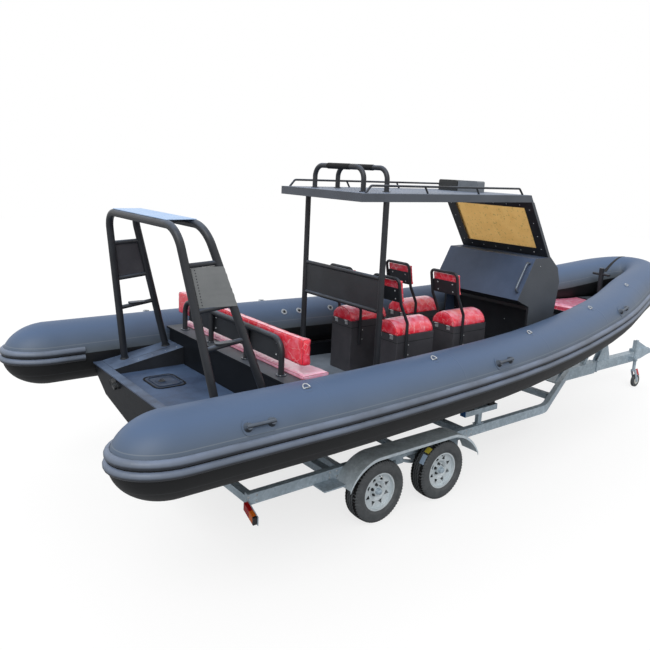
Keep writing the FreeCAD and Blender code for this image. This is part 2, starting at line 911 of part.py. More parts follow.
def roof_rails():
    first = roof_aft + 78.0
    last = roof_fore - 111.0
    solids = []
    for side in (-1, 1):
        y = side * rail_y
        path = [(first, y, roof_top), (first + 62, y, rail_z), (last - 62, y, rail_z), (last, y, roof_top)]
        parts = [bent_tube(path, 34, rail_tube)]
        for share in (0.33, 0.66):
            x = first + (last - first) * share
            parts.append(rod((x, y, rail_z), (x + 44, y, roof_top), rail_tube * 0.9))
        rail = join(parts)
        floor = block(first - 200, last + 200, y - 60, y + 60, roof_top - 60, roof_top)
        solids.append(rail.cut(floor))
    return solids


def roof_lamp_boxes():
    dx, dy, dz = lamp_size
    solids = []
    for side in (-1, 1):
        y0 = 100 + side * lamp_gap / 2
        low_y = y0 if side == 1 else y0 - dy
        lamp = block(lamp_x, lamp_x + dx, low_y, low_y + dy, roof_top, roof_top + dz)
        edges = [e for e in lamp.Edges if abs(e.tangentAt(e.FirstParameter).x) > 0.9
                 and e.CenterOfMass.z > roof_top + dz - 1]
        solids.append(lamp.makeFillet(20, edges))
    return solids


# Console
def console():
    outline = [(console_aft, deck_z), (console_aft, under_dash_z), dash_low, dash_high, ridge_fore, brow,
               nose, chin, (console_fore, deck_z)]
    body = side_prism(outline, -console_half, console_half)
    inside = console_half - footwell_wall
    well = [(console_aft - 5, deck_z + 60), (console_aft - 5, under_dash_z - 40),
            (console_aft + footwell_depth * 0.7, under_dash_z - 40),
            (console_aft + footwell_depth, deck_z + 240), (console_aft + footwell_depth, deck_z + 60)]
    body = body.cut(side_prism(well, -inside, inside))
    return body.cut(hull_solid)


def dash_point(share, lift):
    # a point on the sloping dash, lift above its face
    dx = dash_high[0] - dash_low[0]
    dz = dash_high[1] - dash_low[1]
    length = math.hypot(dx, dz)
    x = dash_low[0] + dx * share - dz / length * lift
    z = dash_low[1] + dz * share + dx / length * lift
    return x, z


def console_handrail():
    y = -console_half + 40
    stand = 62.0
    path = []
    for share, lift in ((0.18, 0.0), (0.18, stand), (0.86, stand), (0.86, 0.0)):
        x, z = dash_point(share, lift)
        path.append((x, y, z))
    return bent_tube(path, 38, 24)


def screen_band(z0, z1, aft, fore):
    # a sloping slab parallel to the screen, from aft to fore behind its front face
    return [(screen_x(z0) - aft, z0), (screen_x(z0) - fore, z0), (screen_x(z1) - fore, z1),
            (screen_x(z1) - aft, z1)]


def windscreen_frame():
    low = ridge_fore[1]
    high = roof_top - roof_edge
    frame = side_prism(screen_band(low, high, screen_thick, 0), -screen_half, screen_half)
    z0, z1 = screen_opening_z
    opening = side_prism(screen_band(z0, z1, screen_thick + 50, -50),
                         -screen_opening_half, screen_opening_half)
    return frame.cut(opening)


def windscreen_pane():
    z0, z1 = screen_opening_z
    middle = screen_thick / 2
    band = screen_band(z0 + hair, z1 - hair, middle + pane_thick / 2, middle - pane_thick / 2)
    return side_prism(band, -screen_opening_half + hair, screen_opening_half - hair)


# Seats
def seat_places():
    return [(rear, side * seat_y) for rear in seat_rears for side in (1, -1)]


def seat_base(rear, y):
    base = block(rear, rear + seat_length, y - seat_half, y + seat_half, deck_z, seat_top)
    edges = [e for e in base.Edges if abs(e.tangentAt(e.FirstParameter).z) > 0.9]
    return base.makeFillet(12, edges)


def saddle(rear, y):
    half = seat_half - run_gap
    low = seat_top + hair
    shoulder = low + saddle_side
    crown = low + saddle_height
    x = rear + 0.5
    a = V(x, y - half, low)
    b = V(x, y - half, shoulder)
    c = V(x, y, crown)
    d = V(x, y + half, shoulder)
    e = V(x, y + half, low)
    edges = [Part.makeLine(a, b), Part.Arc(b, c, d).toShape(), Part.makeLine(d, e), Part.makeLine(e, a)]
    pad = Part.Face(Part.Wire(edges)).extrude(V(seat_length - 1, 0, 0))
    fore = rear + seat_length - 2
    ends = [edge for edge in pad.Edges if edge.CenterOfMass.z > shoulder and edge.CenterOfMass.x > fore]
    return pad.makeFillet(24, ends)


def seat_hinges(rear, y):
    solids = []
    x = rear - hinge_barrel_r - hair
    for side in (-1, 1):
        centre = y + side * hinge_spread
        start = V(x, centre - hinge_length / 2, seat_top)
        barrel = Part.makeCylinder(hinge_barrel_r, hinge_length, start, V(0, 1, 0))
        leaf = block(rear - 3, rear, centre - hinge_length / 2, centre + hinge_length / 2,
                     seat_top - 44, seat_top - 2)
        solids.append(join([barrel, leaf]))
    return solids


def seat_back_path(rear, y, half):
    leg_x = rear + seat_leg_x
    low = (leg_x, seat_top - seat_leg_down)
    kink = (leg_x, seat_top + seat_kink_up)
    knee = (rear + 5, seat_top + seat_back_low)
    crown = (rear + 5 - seat_back_lean, seat_top + seat_back_high)
    star = [(x, y - half, z) for x, z in (low, kink, knee, crown)]
    port = [(x, y + half, z) for x, z in (crown, knee, kink, low)]
    return star + port


def seat_back_frame(rear, y):
    half = seat_half + seat_tube / 2
    return bent_tube(seat_back_path(rear, y, half), seat_bend, seat_tube)


def back_slab(rear, y, half, aft, fore, low, high):
    lean = -seat_back_lean / (seat_back_high - seat_back_low)
    at = [rear + 5 + lean * (z - seat_back_low) for z in (low, high)]
    outline = [(at[0] + aft, seat_top + low), (at[0] + fore, seat_top + low),
               (at[1] + fore, seat_top + high), (at[1] + aft, seat_top + high)]
    return side_prism(outline, y - half, y + half)


def seat_back_board(rear, y):
    # the plate stands between the legs, flush with the front of their tube
    fore = seat_tube / 2
    aft = fore - seat_board
    half = seat_half + fore - math.sqrt(fore ** 2 - aft ** 2) - hair
    board = back_slab(rear, y, half, aft, fore, seat_back_low + 18, seat_board_top)
    ends = [e for e in board.Edges if abs(e.tangentAt(e.FirstParameter).x) > 0.7
            and e.CenterOfMass.z > seat_top + seat_board_top - seat_board]
    return board.makeFillet(14, ends)


def seat_back_pad(rear, y):
    fore = seat_tube / 2 + hair
    high = seat_back_high - seat_tube / 2 + 4
    pad = back_slab(rear, y, seat_pad_half, fore, fore + seat_pad, seat_back_low + 12, high)
    return pad.makeFillet(16, pad.Edges)


# Bow
def bow_locker():
    aft, fore = bow_locker_half
    outline = [(bow_locker_aft, -aft), (bow_locker_fore, -fore), (bow_locker_fore, fore),
               (bow_locker_aft, aft)]
    return plan_prism(outline, bow_deck_z, bow_locker_z).cut(hull_solid)


def bow_cushion():
    aft, fore = bow_locker_half
    outline = [(bow_locker_aft, -aft + 6), (bow_locker_fore, -fore + 6), (bow_locker_fore, fore - 6),
               (bow_locker_aft, aft - 6)]
    pad = plan_prism(outline, bow_locker_z + hair, bow_locker_z + bow_pad_height)
    return pad.makeFillet(12, pad.Edges)


def bow_step():
    aft, fore = step_half
    start = bow_locker_fore + 20
    outline = [(start, -aft), (step_fore, -fore), (step_fore, fore), (start, aft)]
    return plan_prism(outline, bow_deck_z + 1, step_z).cut(hull_solid)


def mooring_bitt():
    post = Part.makeCylinder(bitt_dia / 2, bitt_top - step_z, V(bitt_x, 0, step_z))
    post = post.makeFillet(8, [e for e in post.Edges if e.CenterOfMass.z > bitt_top - 1])
    foot = Part.makeCylinder(bitt_dia * 0.85, 12, V(bitt_x, 0, step_z))
    bar = rod((bitt_x, -bitt_bar / 2, bitt_bar_z), (bitt_x, bitt_bar / 2, bitt_bar_z), 36)
    return join([post, foot, bar])


# Trailer
rail_mid = rail_outer - rail_width / 2
rail_skew = math.hypot(1, (rail_mid - nose_y) / (nose_station - bend_station))


def rail_centre(x):
    if x <= bend_station:
        return rail_mid
    return rail_mid + (nose_y - rail_mid) * (x - bend_station) / (nose_station - bend_station)


def trailer_rails():
    middle = (rail_low + rail_high) / 2
    path = rounded_wire([(rail_rear, rail_mid, middle), (bend_station, rail_mid, middle),
                         (nose_station, nose_y, middle)], 420)
    half = rail_width / 2
    corners = [V(rail_rear, rail_mid + y, z) for y, z in
               ((-half, rail_low), (half, rail_low), (half, rail_high), (-half, rail_high))]
    port = sweep(path, Part.makePolygon(corners + corners[:1]))
    keep = block(0, coupling_tip, drawbar_half + sleeve_wall + hair, rail_outer + rail_width, 0, tube_z)
    port = port.common(keep)
    return [port, mirrored(port)]


def trailer_crossbeams():
    solids = []
    for x in beam_stations:
        skew = rail_skew if x > bend_station else 1.0
        half = rail_centre(x + beam_width / 2) - rail_width / 2 * skew - hair
        beam = block(x - beam_width / 2, x + beam_width / 2, -half, half, rail_low, rail_low + beam_height)
        solids.append(beam)
    return solids


def keel_pads():
    solids = []
    top = rail_low + beam_height
    for x in beam_stations[1:]:
        keel = section(x - keel_pad_width / 2)[0] - hair
        pad = block(x - keel_pad_width / 3, x + keel_pad_width / 3,
                    -keel_pad_width / 2, keel_pad_width / 2, top, keel)
        solids.append(pad)
    return solids


def bunk_channels():
    solids = []
    for side in (-1, 1):
        y = side * bunk_y
        channel = block(bunk_x - bunk_length / 2, bunk_x + bunk_length / 2,
                        y - bunk_width / 2, y + bunk_width / 2, bunk_low, bunk_low + bunk_height)
        post = block(bunk_x - 30, bunk_x + 30, y - 22, y + 22, rail_high, bunk_low)
        plate = block(bunk_x - 60, bunk_x + 60, y - 28, y + 28, rail_high, rail_high + 8)
        solids.append(join([channel, post, plate]))
    return solids


def bunk_pads():
    solids = []
    low = bunk_low + bunk_height
    for side in (-1, 1):
        for x in (bunk_x - bunk_length / 3, bunk_x + bunk_length / 3):
            keel, chine_half, chine, seat_half_width, seat_z = section(x - 45)
            slope = (chine - keel) / chine_half
            outline = []
            for y in (bunk_y - bunk_width / 2, bunk_y + bunk_width / 2):
                outline.append((side * y, low))
            for y in (bunk_y + bunk_width / 2, bunk_y - bunk_width / 2):
                outline.append((side * y, keel + slope * y - hair))
            solids.append(cross_prism(outline, x - 45, x + 45))
    return solids


def suspension():
    # two box axles hung on leaf springs from hangers under the rails
    solids = []
    for side in (-1, 1):
        y = side * rail_mid
        for sign in (-1, 1):
            x = axle_mid + sign * axle_spacing / 2
            low = tyre_r + axle_box / 2
            reach = axle_spacing / 2 - 8
            outer = [V(x - reach, 0, low + 96), V(x, 0, low), V(x + reach, 0, low + 96)]
            inner = [V(p.x, 0, p.z + spring_thick) for p in outer]
            edges = [Part.Arc(*outer).toShape(), Part.makeLine(outer[2], inner[2]),
                     Part.Arc(*reversed(inner)).toShape(), Part.makeLine(inner[0], outer[0])]
            leaf = Part.Face(Part.Wire(edges)).extrude(V(0, spring_width, 0))
            leaf.translate(V(0, y - spring_width / 2, 0))
            solids.append(leaf)
            outer_end = x + sign * (reach - 12)
            solids.append(block(outer_end - 30, outer_end + 30, y - rail_width / 2, y + rail_width / 2,
                                low + 70, rail_low))
            solids.append(block(x - 60, x + 60, y - spring_width / 2 - 8, y + spring_width / 2 + 8,
                                low - 20, low + spring_thick + 8))
        solids.append(block(axle_mid - 50, axle_mid + 50, y - rail_width / 2, y + rail_width / 2,
                            tyre_r + axle_box / 2 + 70, rail_low))
    for sign in (-1, 1):
        x = axle_mid + sign * axle_spacing / 2
        half = rail_outer - 6
        solids.append(block(x - axle_box / 2, x + axle_box / 2, -half, half, tyre_r - axle_box / 2,
                            tyre_r + axle_box / 2))
        for side in (-1, 1):
            solids.append(rod((x, side * (half - 10), tyre_r), (x, side * (wheel_y + 18), tyre_r), stub_dia))
    return join(solids)


def mudguard():
    # a long flat-topped guard over both wheels with rolled-down ends and an outer skirt
    return join([guard_strip(rail_outer, guard_outer, guard_plate),
                 guard_strip(guard_outer - guard_plate, guard_outer, guard_skirt)])


def guard_strip(y0, y1, drop):
    first = axle_mid - axle_spacing / 2
    last = axle_mid + axle_spacing / 2
    aft_low, fore_low = guard_low
    flat = guard_flat_z
    aft = [V(first - 388, y0, aft_low), V(first - 272, y0, flat - 85), V(first - 56, y0, flat)]
    fore = [V(last + 120, y0, flat), V(last + 350, y0, flat - 95), V(last + 502, y0, fore_low)]
    down = V(0, 0, -drop)
    lower_aft = [p + down for p in reversed(aft)]
    lower_fore = [p + down for p in reversed(fore)]
    edges = [Part.Arc(*aft).toShape(), Part.makeLine(aft[2], fore[0]), Part.Arc(*fore).toShape(),
             Part.makeLine(fore[2], lower_fore[0]), Part.Arc(*lower_fore).toShape(),
             Part.makeLine(lower_fore[2], lower_aft[0]), Part.Arc(*lower_aft).toShape(),
             Part.makeLine(lower_aft[2], aft[0])]
    return Part.Face(Part.Wire(edges)).extrude(V(0, y1 - y0, 0))


def tread_step():
    aft = axle_mid - axle_spacing / 2 - 640
    top = rail_high - step_drop
    return block(aft, aft + 240, rail_outer, guard_outer - 60, top - 12, top)


def lamp_bar(near, far, low, high):
    # an outline across the boat, from near to far outboard of the rail, that falls with the lamp's tilt
    fall = math.tan(math.radians(lamp_tilt))
    top = rail_low + 40
    return [(rail_outer + y, top + z - fall * y) for y, z in
            ((near, low), (far, low), (far, high), (near, high))]


def tail_lamp_plate():
    # a plate on the rail's end, with a tongue that falls outboard to carry the lamp
    end = cross_prism([(rail_mid - 20, rail_low - 40), (rail_outer, rail_low - 40),
                       (rail_outer, rail_high), (rail_mid - 20, rail_high)], rail_rear - 6, rail_rear)
    tongue = cross_prism(lamp_bar(-8, 165, -66, 10), rail_rear - 6, rail_rear)
    return join([end, tongue])


def tail_lamp():
    return cross_prism(lamp_bar(2, 155, -60, 4), rail_rear - 46, rail_rear - 6 - hair)


# Wheels
def ring_of(outline, x, y):
    # turns a (across, radius) outline round the axle at station x
    corners = [V(x, y + across, tyre_r + radius) for across, radius in outline]
    face = Part.Face(Part.makePolygon(corners + corners[:1]))
    return face.revolve(V(x, y, tyre_r), V(0, 1, 0), 360)


def tyre(x, y):
    # half of the section, from the bead out over the shoulder and back inside, then its mirror image
    half = tyre_width / 2
    bead = rim_width / 2 - 6
    seat = rim_seat_r + hair
    outer = [(-bead + 1, seat), (-bead - 1, rim_lip_r + 1), (-half + 2, 232), (-half, 252), (-half + 4, 274),
             (-half + 14, 292), (-half + 24, tyre_r - 4), (-half + 50, tyre_r - 1)]
    inner = [(-half + 34, 290), (-half + 18, 272), (-half + 16, 240), (-bead + 12, rim_lip_r + 8),
             (-bead + 14, seat)]
    points = outer + [(0, tyre_r)] + [(-a, r) for a, r in reversed(outer)]
    points += [(-a, r) for a, r in reversed(inner)] + [(0, tyre_r - 14)] + inner
    return ring_of(points, x, y)


def rim(x, side):
    y = side * wheel_y
    half = rim_width / 2
    bed = rim_seat_r - rim_plate
    barrel = [(-half, rim_lip_r), (-half + 5, rim_lip_r), (-half + 7, rim_seat_r), (half - 7, rim_seat_r),
              (half - 5, rim_lip_r), (half, rim_lip_r), (half, bed), (-half, bed)]
    disc = [(8, 38), (8, 76), (30, 96), (34, bed + 1), (42, bed + 1), (38, 92), (16, 70), (16, 38)]
    hub = [(-52, stub_dia / 2 + hair), (-52, 44), (46, 44), (46, stub_dia / 2 + hair)]
    disc = [(side * a, r) for a, r in disc]
    hub = [(side * a, r) for a, r in hub]
    wheel = join([ring_of(barrel, x, y), ring_of(disc, x, y), ring_of(hub, x, y)])
    cutters = []
    for i in range(disc_holes):
        outline = [V(x + dx, y - 100, tyre_r + r) for dx, r in ((-25, 106), (25, 106), (0, 158))]
        hole = Part.Face(Part.makePolygon(outline + outline[:1])).extrude(V(0, 200, 0))
        hole.rotate(V(x, y, tyre_r), V(0, 1, 0), (i + 0.5) * 360.0 / disc_holes)
        cutters.append(hole)
    return wheel.cut(cutters)


# Front of the trailer
def drawbar():
    bar = block(sleeve_aft, drawbar_end, -drawbar_half, drawbar_half, drawbar_low, drawbar_high)
    edges = [e for e in bar.Edges if abs(e.tangentAt(e.FirstParameter).x) > 0.9]
    bar = bar.makeFillet(8, edges)
    outer = drawbar_half + sleeve_wall
    sleeve = block(sleeve_aft, sleeve_fore, -outer, outer,
                   drawbar_low - sleeve_wall, drawbar_high + sleeve_wall)
    collar = block(sleeve_fore + 40, sleeve_fore + 70, -outer, outer, drawbar_low - 6, drawbar_high + 6)
    return join([sleeve, bar, collar])


def nose_gusset():
    # flat gusset plates above the drawbar sleeve between the converging rails
    z = drawbar_high + sleeve_wall
    half = rail_centre(sleeve_aft - 480) - rail_width
    outline = [(sleeve_aft - 480, -half), (sleeve_aft + 120, -60), (sleeve_aft + 120, 60),
               (sleeve_aft - 480, half)]
    return plan_prism(outline, z, z + 8)


def bow_post():
    # a plated A-shaped post on the drawbar that carries the bow stop
    base = drawbar_high
    sleeve = base + sleeve_wall
    aft = post_fore - post_foot
    head = post_fore - post_foot / 2
    waist = base + post_waist
    keel = section(head + 5)[0]
    outline = [(aft, base), (post_fore, base), (post_fore, base + 24), (head + 80, waist),
               (head, keel - 60), (head - 80, keel - 60), (head - 25, waist), (aft, base + 24)]
    solids = [side_prism(outline, y, y + 10) for y in (-40, 30)]
    solids.append(block(head - 55, head - 25, -40, 40, waist - 140, waist))
    foot = sleeve_fore - 200
    strut = [(foot - 60, sleeve), (foot, sleeve), (head - 55, keel - 160), (head - 75, keel - 110)]
    solids.append(side_prism(strut, -30, 30))
    ends = (head - 115, head + 25)
    stop = [(ends[0], keel - 70), (ends[1], keel - 70), (ends[1], section(ends[1])[0] - 4),
            (ends[0], section(ends[0])[0] - 4)]
    solids.append(side_prism(stop, -45, 45))
    return join(solids)


def coupling_head():
    # a pressed head that narrows to the ball socket, with a tall handle ridge behind it
    top_x, top_z = coupling_top
    seat_z = drawbar_high + 40
    skirt_z = drawbar_low + 13
    ridge_z = drawbar_high + 30
    outline = [(top_x, top_z), (top_x + 26, top_z - 4), (coupling_tip - 24, ball_z + 68),
               (coupling_tip, ball_z + 48), (coupling_tip - 4, ball_z), (coupling_tip - 120, ball_z - 12),
               (drawbar_end + 120, skirt_z), (drawbar_end, skirt_z), (drawbar_end, seat_z)]
    body = side_prism(outline, -46, 46)
    shoulder = side_prism([(drawbar_end + 60, ridge_z), (coupling_tip, ridge_z),
                           (coupling_tip, top_z + 60), (drawbar_end + 10, top_z + 60),
                           (drawbar_end + 10, ridge_z)], 14, 60)
    body = body.cut([shoulder, mirrored(shoulder)])
    tongue = block(drawbar_end - 90, drawbar_end + 2, -46, 46, drawbar_high, seat_z)
    ball = Part.makeSphere(tow_ball / 2 + hair, V(ball_x, 0, ball_z))
    throat = Part.makeCylinder(tow_ball / 2 + hair, 60, V(ball_x, 0, ball_z - 60))
    return join([body, tongue]).cut([ball, throat])


def jockey_stem():
    tube = Part.makeCylinder(stem_dia / 2, stem_top - stem_low, V(stem_x, stem_y, stem_low))
    lug = block(stem_x - 40, stem_x + 40, stem_y - 2, -drawbar_half, 430, 500)
    knob = Part.makeCylinder(22, 36, V(stem_x - 34, stem_y - 10, 465), V(0, -1, 0))
    stalk = Part.makeCylinder(10, 20, V(stem_x - 34, stem_y + 8, 465), V(0, -1, 0))
    return join([tube, lug, knob, stalk])


def jockey_fork():
    # swivel fork: collar, sloping cheeks and the wheel pin
    top = stem_low - hair
    pin_x = stem_x + caster_trail
    inner = caster_width / 2 + 5
    solids = [Part.makeCylinder(inner + 2.5, 26, V(stem_x, stem_y, top - 26))]
    outline = [(stem_x - 24, top - 26), (stem_x - 24, top), (stem_x + 24, top), (pin_x + 26, caster_r + 12),
               (pin_x + 20, caster_r - 18), (pin_x - 20, caster_r - 18), (pin_x - 30, caster_r + 20)]
    for side in (-1, 1):
        y0 = stem_y + side * inner
        cheek = side_prism(outline, min(y0, y0 + side * 5), max(y0, y0 + side * 5))
        solids.append(cheek)
    crown = block(stem_x - 24, stem_x + 24, stem_y - inner - 1, stem_y + inner + 1, top - 20, top - 10)
    pin = rod((pin_x, stem_y - inner - 8, caster_r), (pin_x, stem_y + inner + 8, caster_r), caster_pin)
    return join(solids + [crown, pin])


def jockey_wheel():
    pin_x = stem_x + caster_trail
    start = V(pin_x, stem_y - caster_width / 2, caster_r)
    wheel = Part.makeCylinder(caster_r, caster_width, start, V(0, 1, 0))
    wheel = wheel.makeFillet(9, [e for e in wheel.Edges if e.Length > 500])
    bore = Part.makeCylinder(caster_pin / 2 + hair, caster_width + 4,
                             V(pin_x, stem_y - caster_width / 2 - 2, caster_r), V(0, 1, 0))
    return wheel.cut(bore)


os.makedirs("parts", exist_ok=True)

save("buoyancy_tube", buoyancy_tube())
save("rub_strakes", *rub_strakes())
save("grab_handles", *grab_handles())

hull_solid = hull()
save("hull", *hull_mouldings(hull_solid))
save("deck_sole", deck_sole())
save("engine_well", engine_well())
save("stern_boxes", *stern_boxes())
save("hatch_gasket", hatch_gasket())
save("hatch_lid", hatch_lid())

save("bench_locker", bench_locker())
save("bench_back_frame", bench_back_frame())
save("bench_back_panel", bench_back_panel())
save("bench_back_cushion", bench_back_cushion())
save("bench_seat_cushion", bench_seat_cushion())

save("arch_frame", join([arch_frame()] + arch_top_ties()))
save("arch_panels", arch_top_plate(), *arch_side_panels())

save("roof", roof())
save("roof_posts", *roof_posts())
save("roof_hoops", *roof_hoops())
save("roof_rails", *roof_rails())
save("roof_lamp_boxes", *roof_lamp_boxes())
save("lean_panel", lean_panel())
save("windscreen_frame", windscreen_frame())
save("windscreen_pane", windscreen_pane())
save("console", console())
save("console_handrail", console_handrail())

save("seat_bases", *[seat_base(*place) for place in seat_places()])
save("seat_back_frames", *[seat_back_frame(*place) for place in seat_places()])
save("seat_back_boards", *[seat_back_board(*place) for place in seat_places()])
save("seat_back_pads", *[seat_back_pad(*place) for place in seat_places()])
save("seat_hinges", *[hinge for place in seat_places() for hinge in seat_hinges(*place)])
for number, place in enumerate(seat_places(), start=1):
    save("saddle_%d" % number, saddle(*place))

save("bow_locker", bow_locker(), bow_step())
save("bow_cushion", bow_cushion())
save("mooring_bitt", mooring_bitt())

save("trailer_rails", *trailer_rails())
save("trailer_crossbeams", *trailer_crossbeams())
save("bunk_channels", *bunk_channels())
save("hull_pads", *keel_pads(), *bunk_pads())
save("suspension", suspension())
save("mudguards", mudguard(), mirrored(mudguard()))
plates = [tread_step(), tail_lamp_plate()]
save("trailer_plates", *plates, *[mirrored(plate) for plate in plates])
save("tail_lamps", tail_lamp(), mirrored(tail_lamp()))
save("drawbar", join([drawbar(), nose_gusset()]))
save("bow_post", bow_post())
save("coupling_head", coupling_head())
save("jockey_stem", jockey_stem())
save("jockey_fork", jockey_fork())
save("jockey_wheel", jockey_wheel())

wheels = [(sign, side) for sign in (-1, 1) for side in (1, -1)]
for number, (sign, side) in enumerate(wheels, start=1):
    x = axle_mid + sign * axle_spacing / 2
    save("tyre_%d" % number, tyre(x, side * wheel_y))
    save("rim_%d" % number, rim(x, side))
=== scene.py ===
import itertools
import math

import bmesh
import bpy
import numpy as np
from mathutils import Matrix, Vector
from mathutils.bvhtree import BVHTree


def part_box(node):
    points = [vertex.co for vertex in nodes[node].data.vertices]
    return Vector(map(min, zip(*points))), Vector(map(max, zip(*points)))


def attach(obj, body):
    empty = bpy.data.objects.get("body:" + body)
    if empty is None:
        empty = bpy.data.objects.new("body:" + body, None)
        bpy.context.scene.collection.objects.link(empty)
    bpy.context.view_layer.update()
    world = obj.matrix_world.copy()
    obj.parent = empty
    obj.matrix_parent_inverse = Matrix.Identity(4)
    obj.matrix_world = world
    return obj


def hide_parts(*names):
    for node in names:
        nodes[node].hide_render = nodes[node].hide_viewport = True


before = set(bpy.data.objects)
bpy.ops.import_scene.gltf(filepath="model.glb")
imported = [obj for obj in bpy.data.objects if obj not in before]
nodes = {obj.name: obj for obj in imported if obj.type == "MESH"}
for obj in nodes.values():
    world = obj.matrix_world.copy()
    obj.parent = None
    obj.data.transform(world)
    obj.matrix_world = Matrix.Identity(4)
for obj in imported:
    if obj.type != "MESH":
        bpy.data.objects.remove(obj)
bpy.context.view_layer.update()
scene = bpy.context.scene
print("frame loaded with", len(nodes), "CAD nodes")

root = "boat_on_trailer"
midStation = 4.797  # stations along the boat count from the stern tips, the origin is here


# Small tools

# sRGB hex to the linear colour that the shaders take
def hexColour(text):
    parts = [int(text[i:i + 2], 16) / 255 for i in (1, 3, 5)]
    return tuple(c / 12.92 if c <= 0.04045 else ((c + 0.055) / 1.055) ** 2.4 for c in parts) + (1.0,)


def plainMaterial(name, settings):
    material = bpy.data.materials.new(name)
    material.use_nodes = True
    shader = material.node_tree.nodes["Principled BSDF"]
    for key, value in settings.items():
        shader.inputs[key].default_value = value
    return material, material.node_tree, shader


# adds one shader node, with its settings and the sockets that feed it
def addNode(tree, kind, settings=None, links=None):
    node = tree.nodes.new(kind)
    for key, value in (settings or {}).items():
        if isinstance(key, str) and key[0].islower():
            setattr(node, key, value)
        else:
            node.inputs[key].default_value = value
    for key, socket in (links or {}).items():
        tree.links.new(socket, node.inputs[key])
    return node


def station(s, y, z):
    return Vector((s - midStation, y, z))


# a mesh becomes an object that rides on a body and wears its material
def placed(name, mesh, material, body, smooth=True):
    piece = bpy.data.objects.new(name, mesh)
    scene.collection.objects.link(piece)
    mesh.materials.clear()
    mesh.materials.append(material)
    mesh.polygons.foreach_set("use_smooth", [smooth] * len(mesh.polygons))
    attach(piece, body)
    return piece


def addPiece(name, points, faces, material, slot, body=root, smooth=True):
    mesh = bpy.data.meshes.new(name)
    mesh.from_pydata([tuple(p) for p in points], [], faces)
    mesh.validate()
    return placed(name, mesh, material, body, smooth)


def circle(count):
    angles = [2 * math.pi * k / count for k in range(count)]
    return [(math.cos(angle), math.sin(angle)) for angle in angles]


# Rows of points joined by quads. wrap closes each row, ring joins the last row to the first,
# caps fills the first and the last row, and flip turns every face over.
def sheet(rows, wrap=False, ring=False, caps=False, flip=False):
    count = len(rows)
    width = len(rows[0])
    faces = []
    for r in range(count if ring else count - 1):
        after = (r + 1) % count
        for k in range(width if wrap else width - 1):
            j = (k + 1) % width
            faces.append((r * width + k, r * width + j, after * width + j, after * width + k))
    if caps:
        faces += [tuple(reversed(range(width))), tuple((count - 1) * width + k for k in range(width))]
    if flip:
        faces = [face[:1] + face[:0:-1] for face in faces]
    return [point for row in rows for point in row], faces


def merged(parts):
    points = []
    faces = []
    for verts, quads in parts:
        base = len(points)
        points += verts
        faces += [tuple(base + i for i in face) for face in quads]
    return points, faces


def dress(material, *names):
    for name in names:
        mesh = nodes[name].data
        mesh.materials.clear()
        mesh.materials.append(material)


# Shader tools: each adds a node and returns the socket that it gives

def objectPlace(tree):
    return addNode(tree, "ShaderNodeTexCoord").outputs["Object"]


def noise(tree, place, scale, detail, roughness=0.5, output="Fac", **settings):
    settings.update({"Scale": scale, "Detail": detail, "Roughness": roughness})
    return addNode(tree, "ShaderNodeTexNoise", settings, {"Vector": place}).outputs[output]


def ranged(tree, value, low, high, to=1.0, start=0.0):
    settings = {"From Min": low, "From Max": high, "To Min": start, "To Max": to}
    return addNode(tree, "ShaderNodeMapRange", settings, {"Value": value}).outputs["Result"]


# numbers and hex colours are set on the node's own inputs, sockets are linked to them
def inputsOf(settings, inputs):
    links = {}
    for index, value in inputs.items():
        if isinstance(value, str):
            settings[index] = hexColour(value)
        elif isinstance(value, float):
            settings[index] = value
        elif value is not None:
            links[index] = value
    return settings, links


def maths(tree, operation, first, second=None, third=None):
    settings, links = inputsOf({"operation": operation}, {0: first, 1: second, 2: third})
    return addNode(tree, "ShaderNodeMath", settings, links).outputs[0]


def blend(tree, share, first, second):
    settings, links = inputsOf({"data_type": "RGBA"}, {0: share, 6: first, 7: second})
    return addNode(tree, "ShaderNodeMix", settings, links).outputs[2]


# how far the face looks up, from -1 to 1
def upward(tree):
    normal = addNode(tree, "ShaderNodeNewGeometry").outputs["Normal"]
    return addNode(tree, "ShaderNodeSeparateXYZ", links={"Vector": normal}).outputs["Z"]


def softEdge(tree, radius):
    return addNode(tree, "ShaderNodeBevel", {"samples": 4, "Radius": radius}).outputs[0]


def bumped(tree, height, strength, distance, normal=None):
    links = {"Height": height}
    if normal is not None:
        links["Normal"] = normal
    return addNode(tree, "ShaderNodeBump", {"Strength": strength, "Distance": distance}, links).outputs[0]


def bentPlace(tree, place, scale, share):
    bend = noise(tree, place, scale, 2.0, output="Color")
    settings = {"data_type": "VECTOR", "Factor": share}
    return addNode(tree, "ShaderNodeMix", settings, {4: place, 5: bend}).outputs[1]


# sockets into a shader's named inputs
def wire(tree, shader, sockets):
    for name, socket in sockets.items():
        tree.links.new(socket, shader.inputs[name])
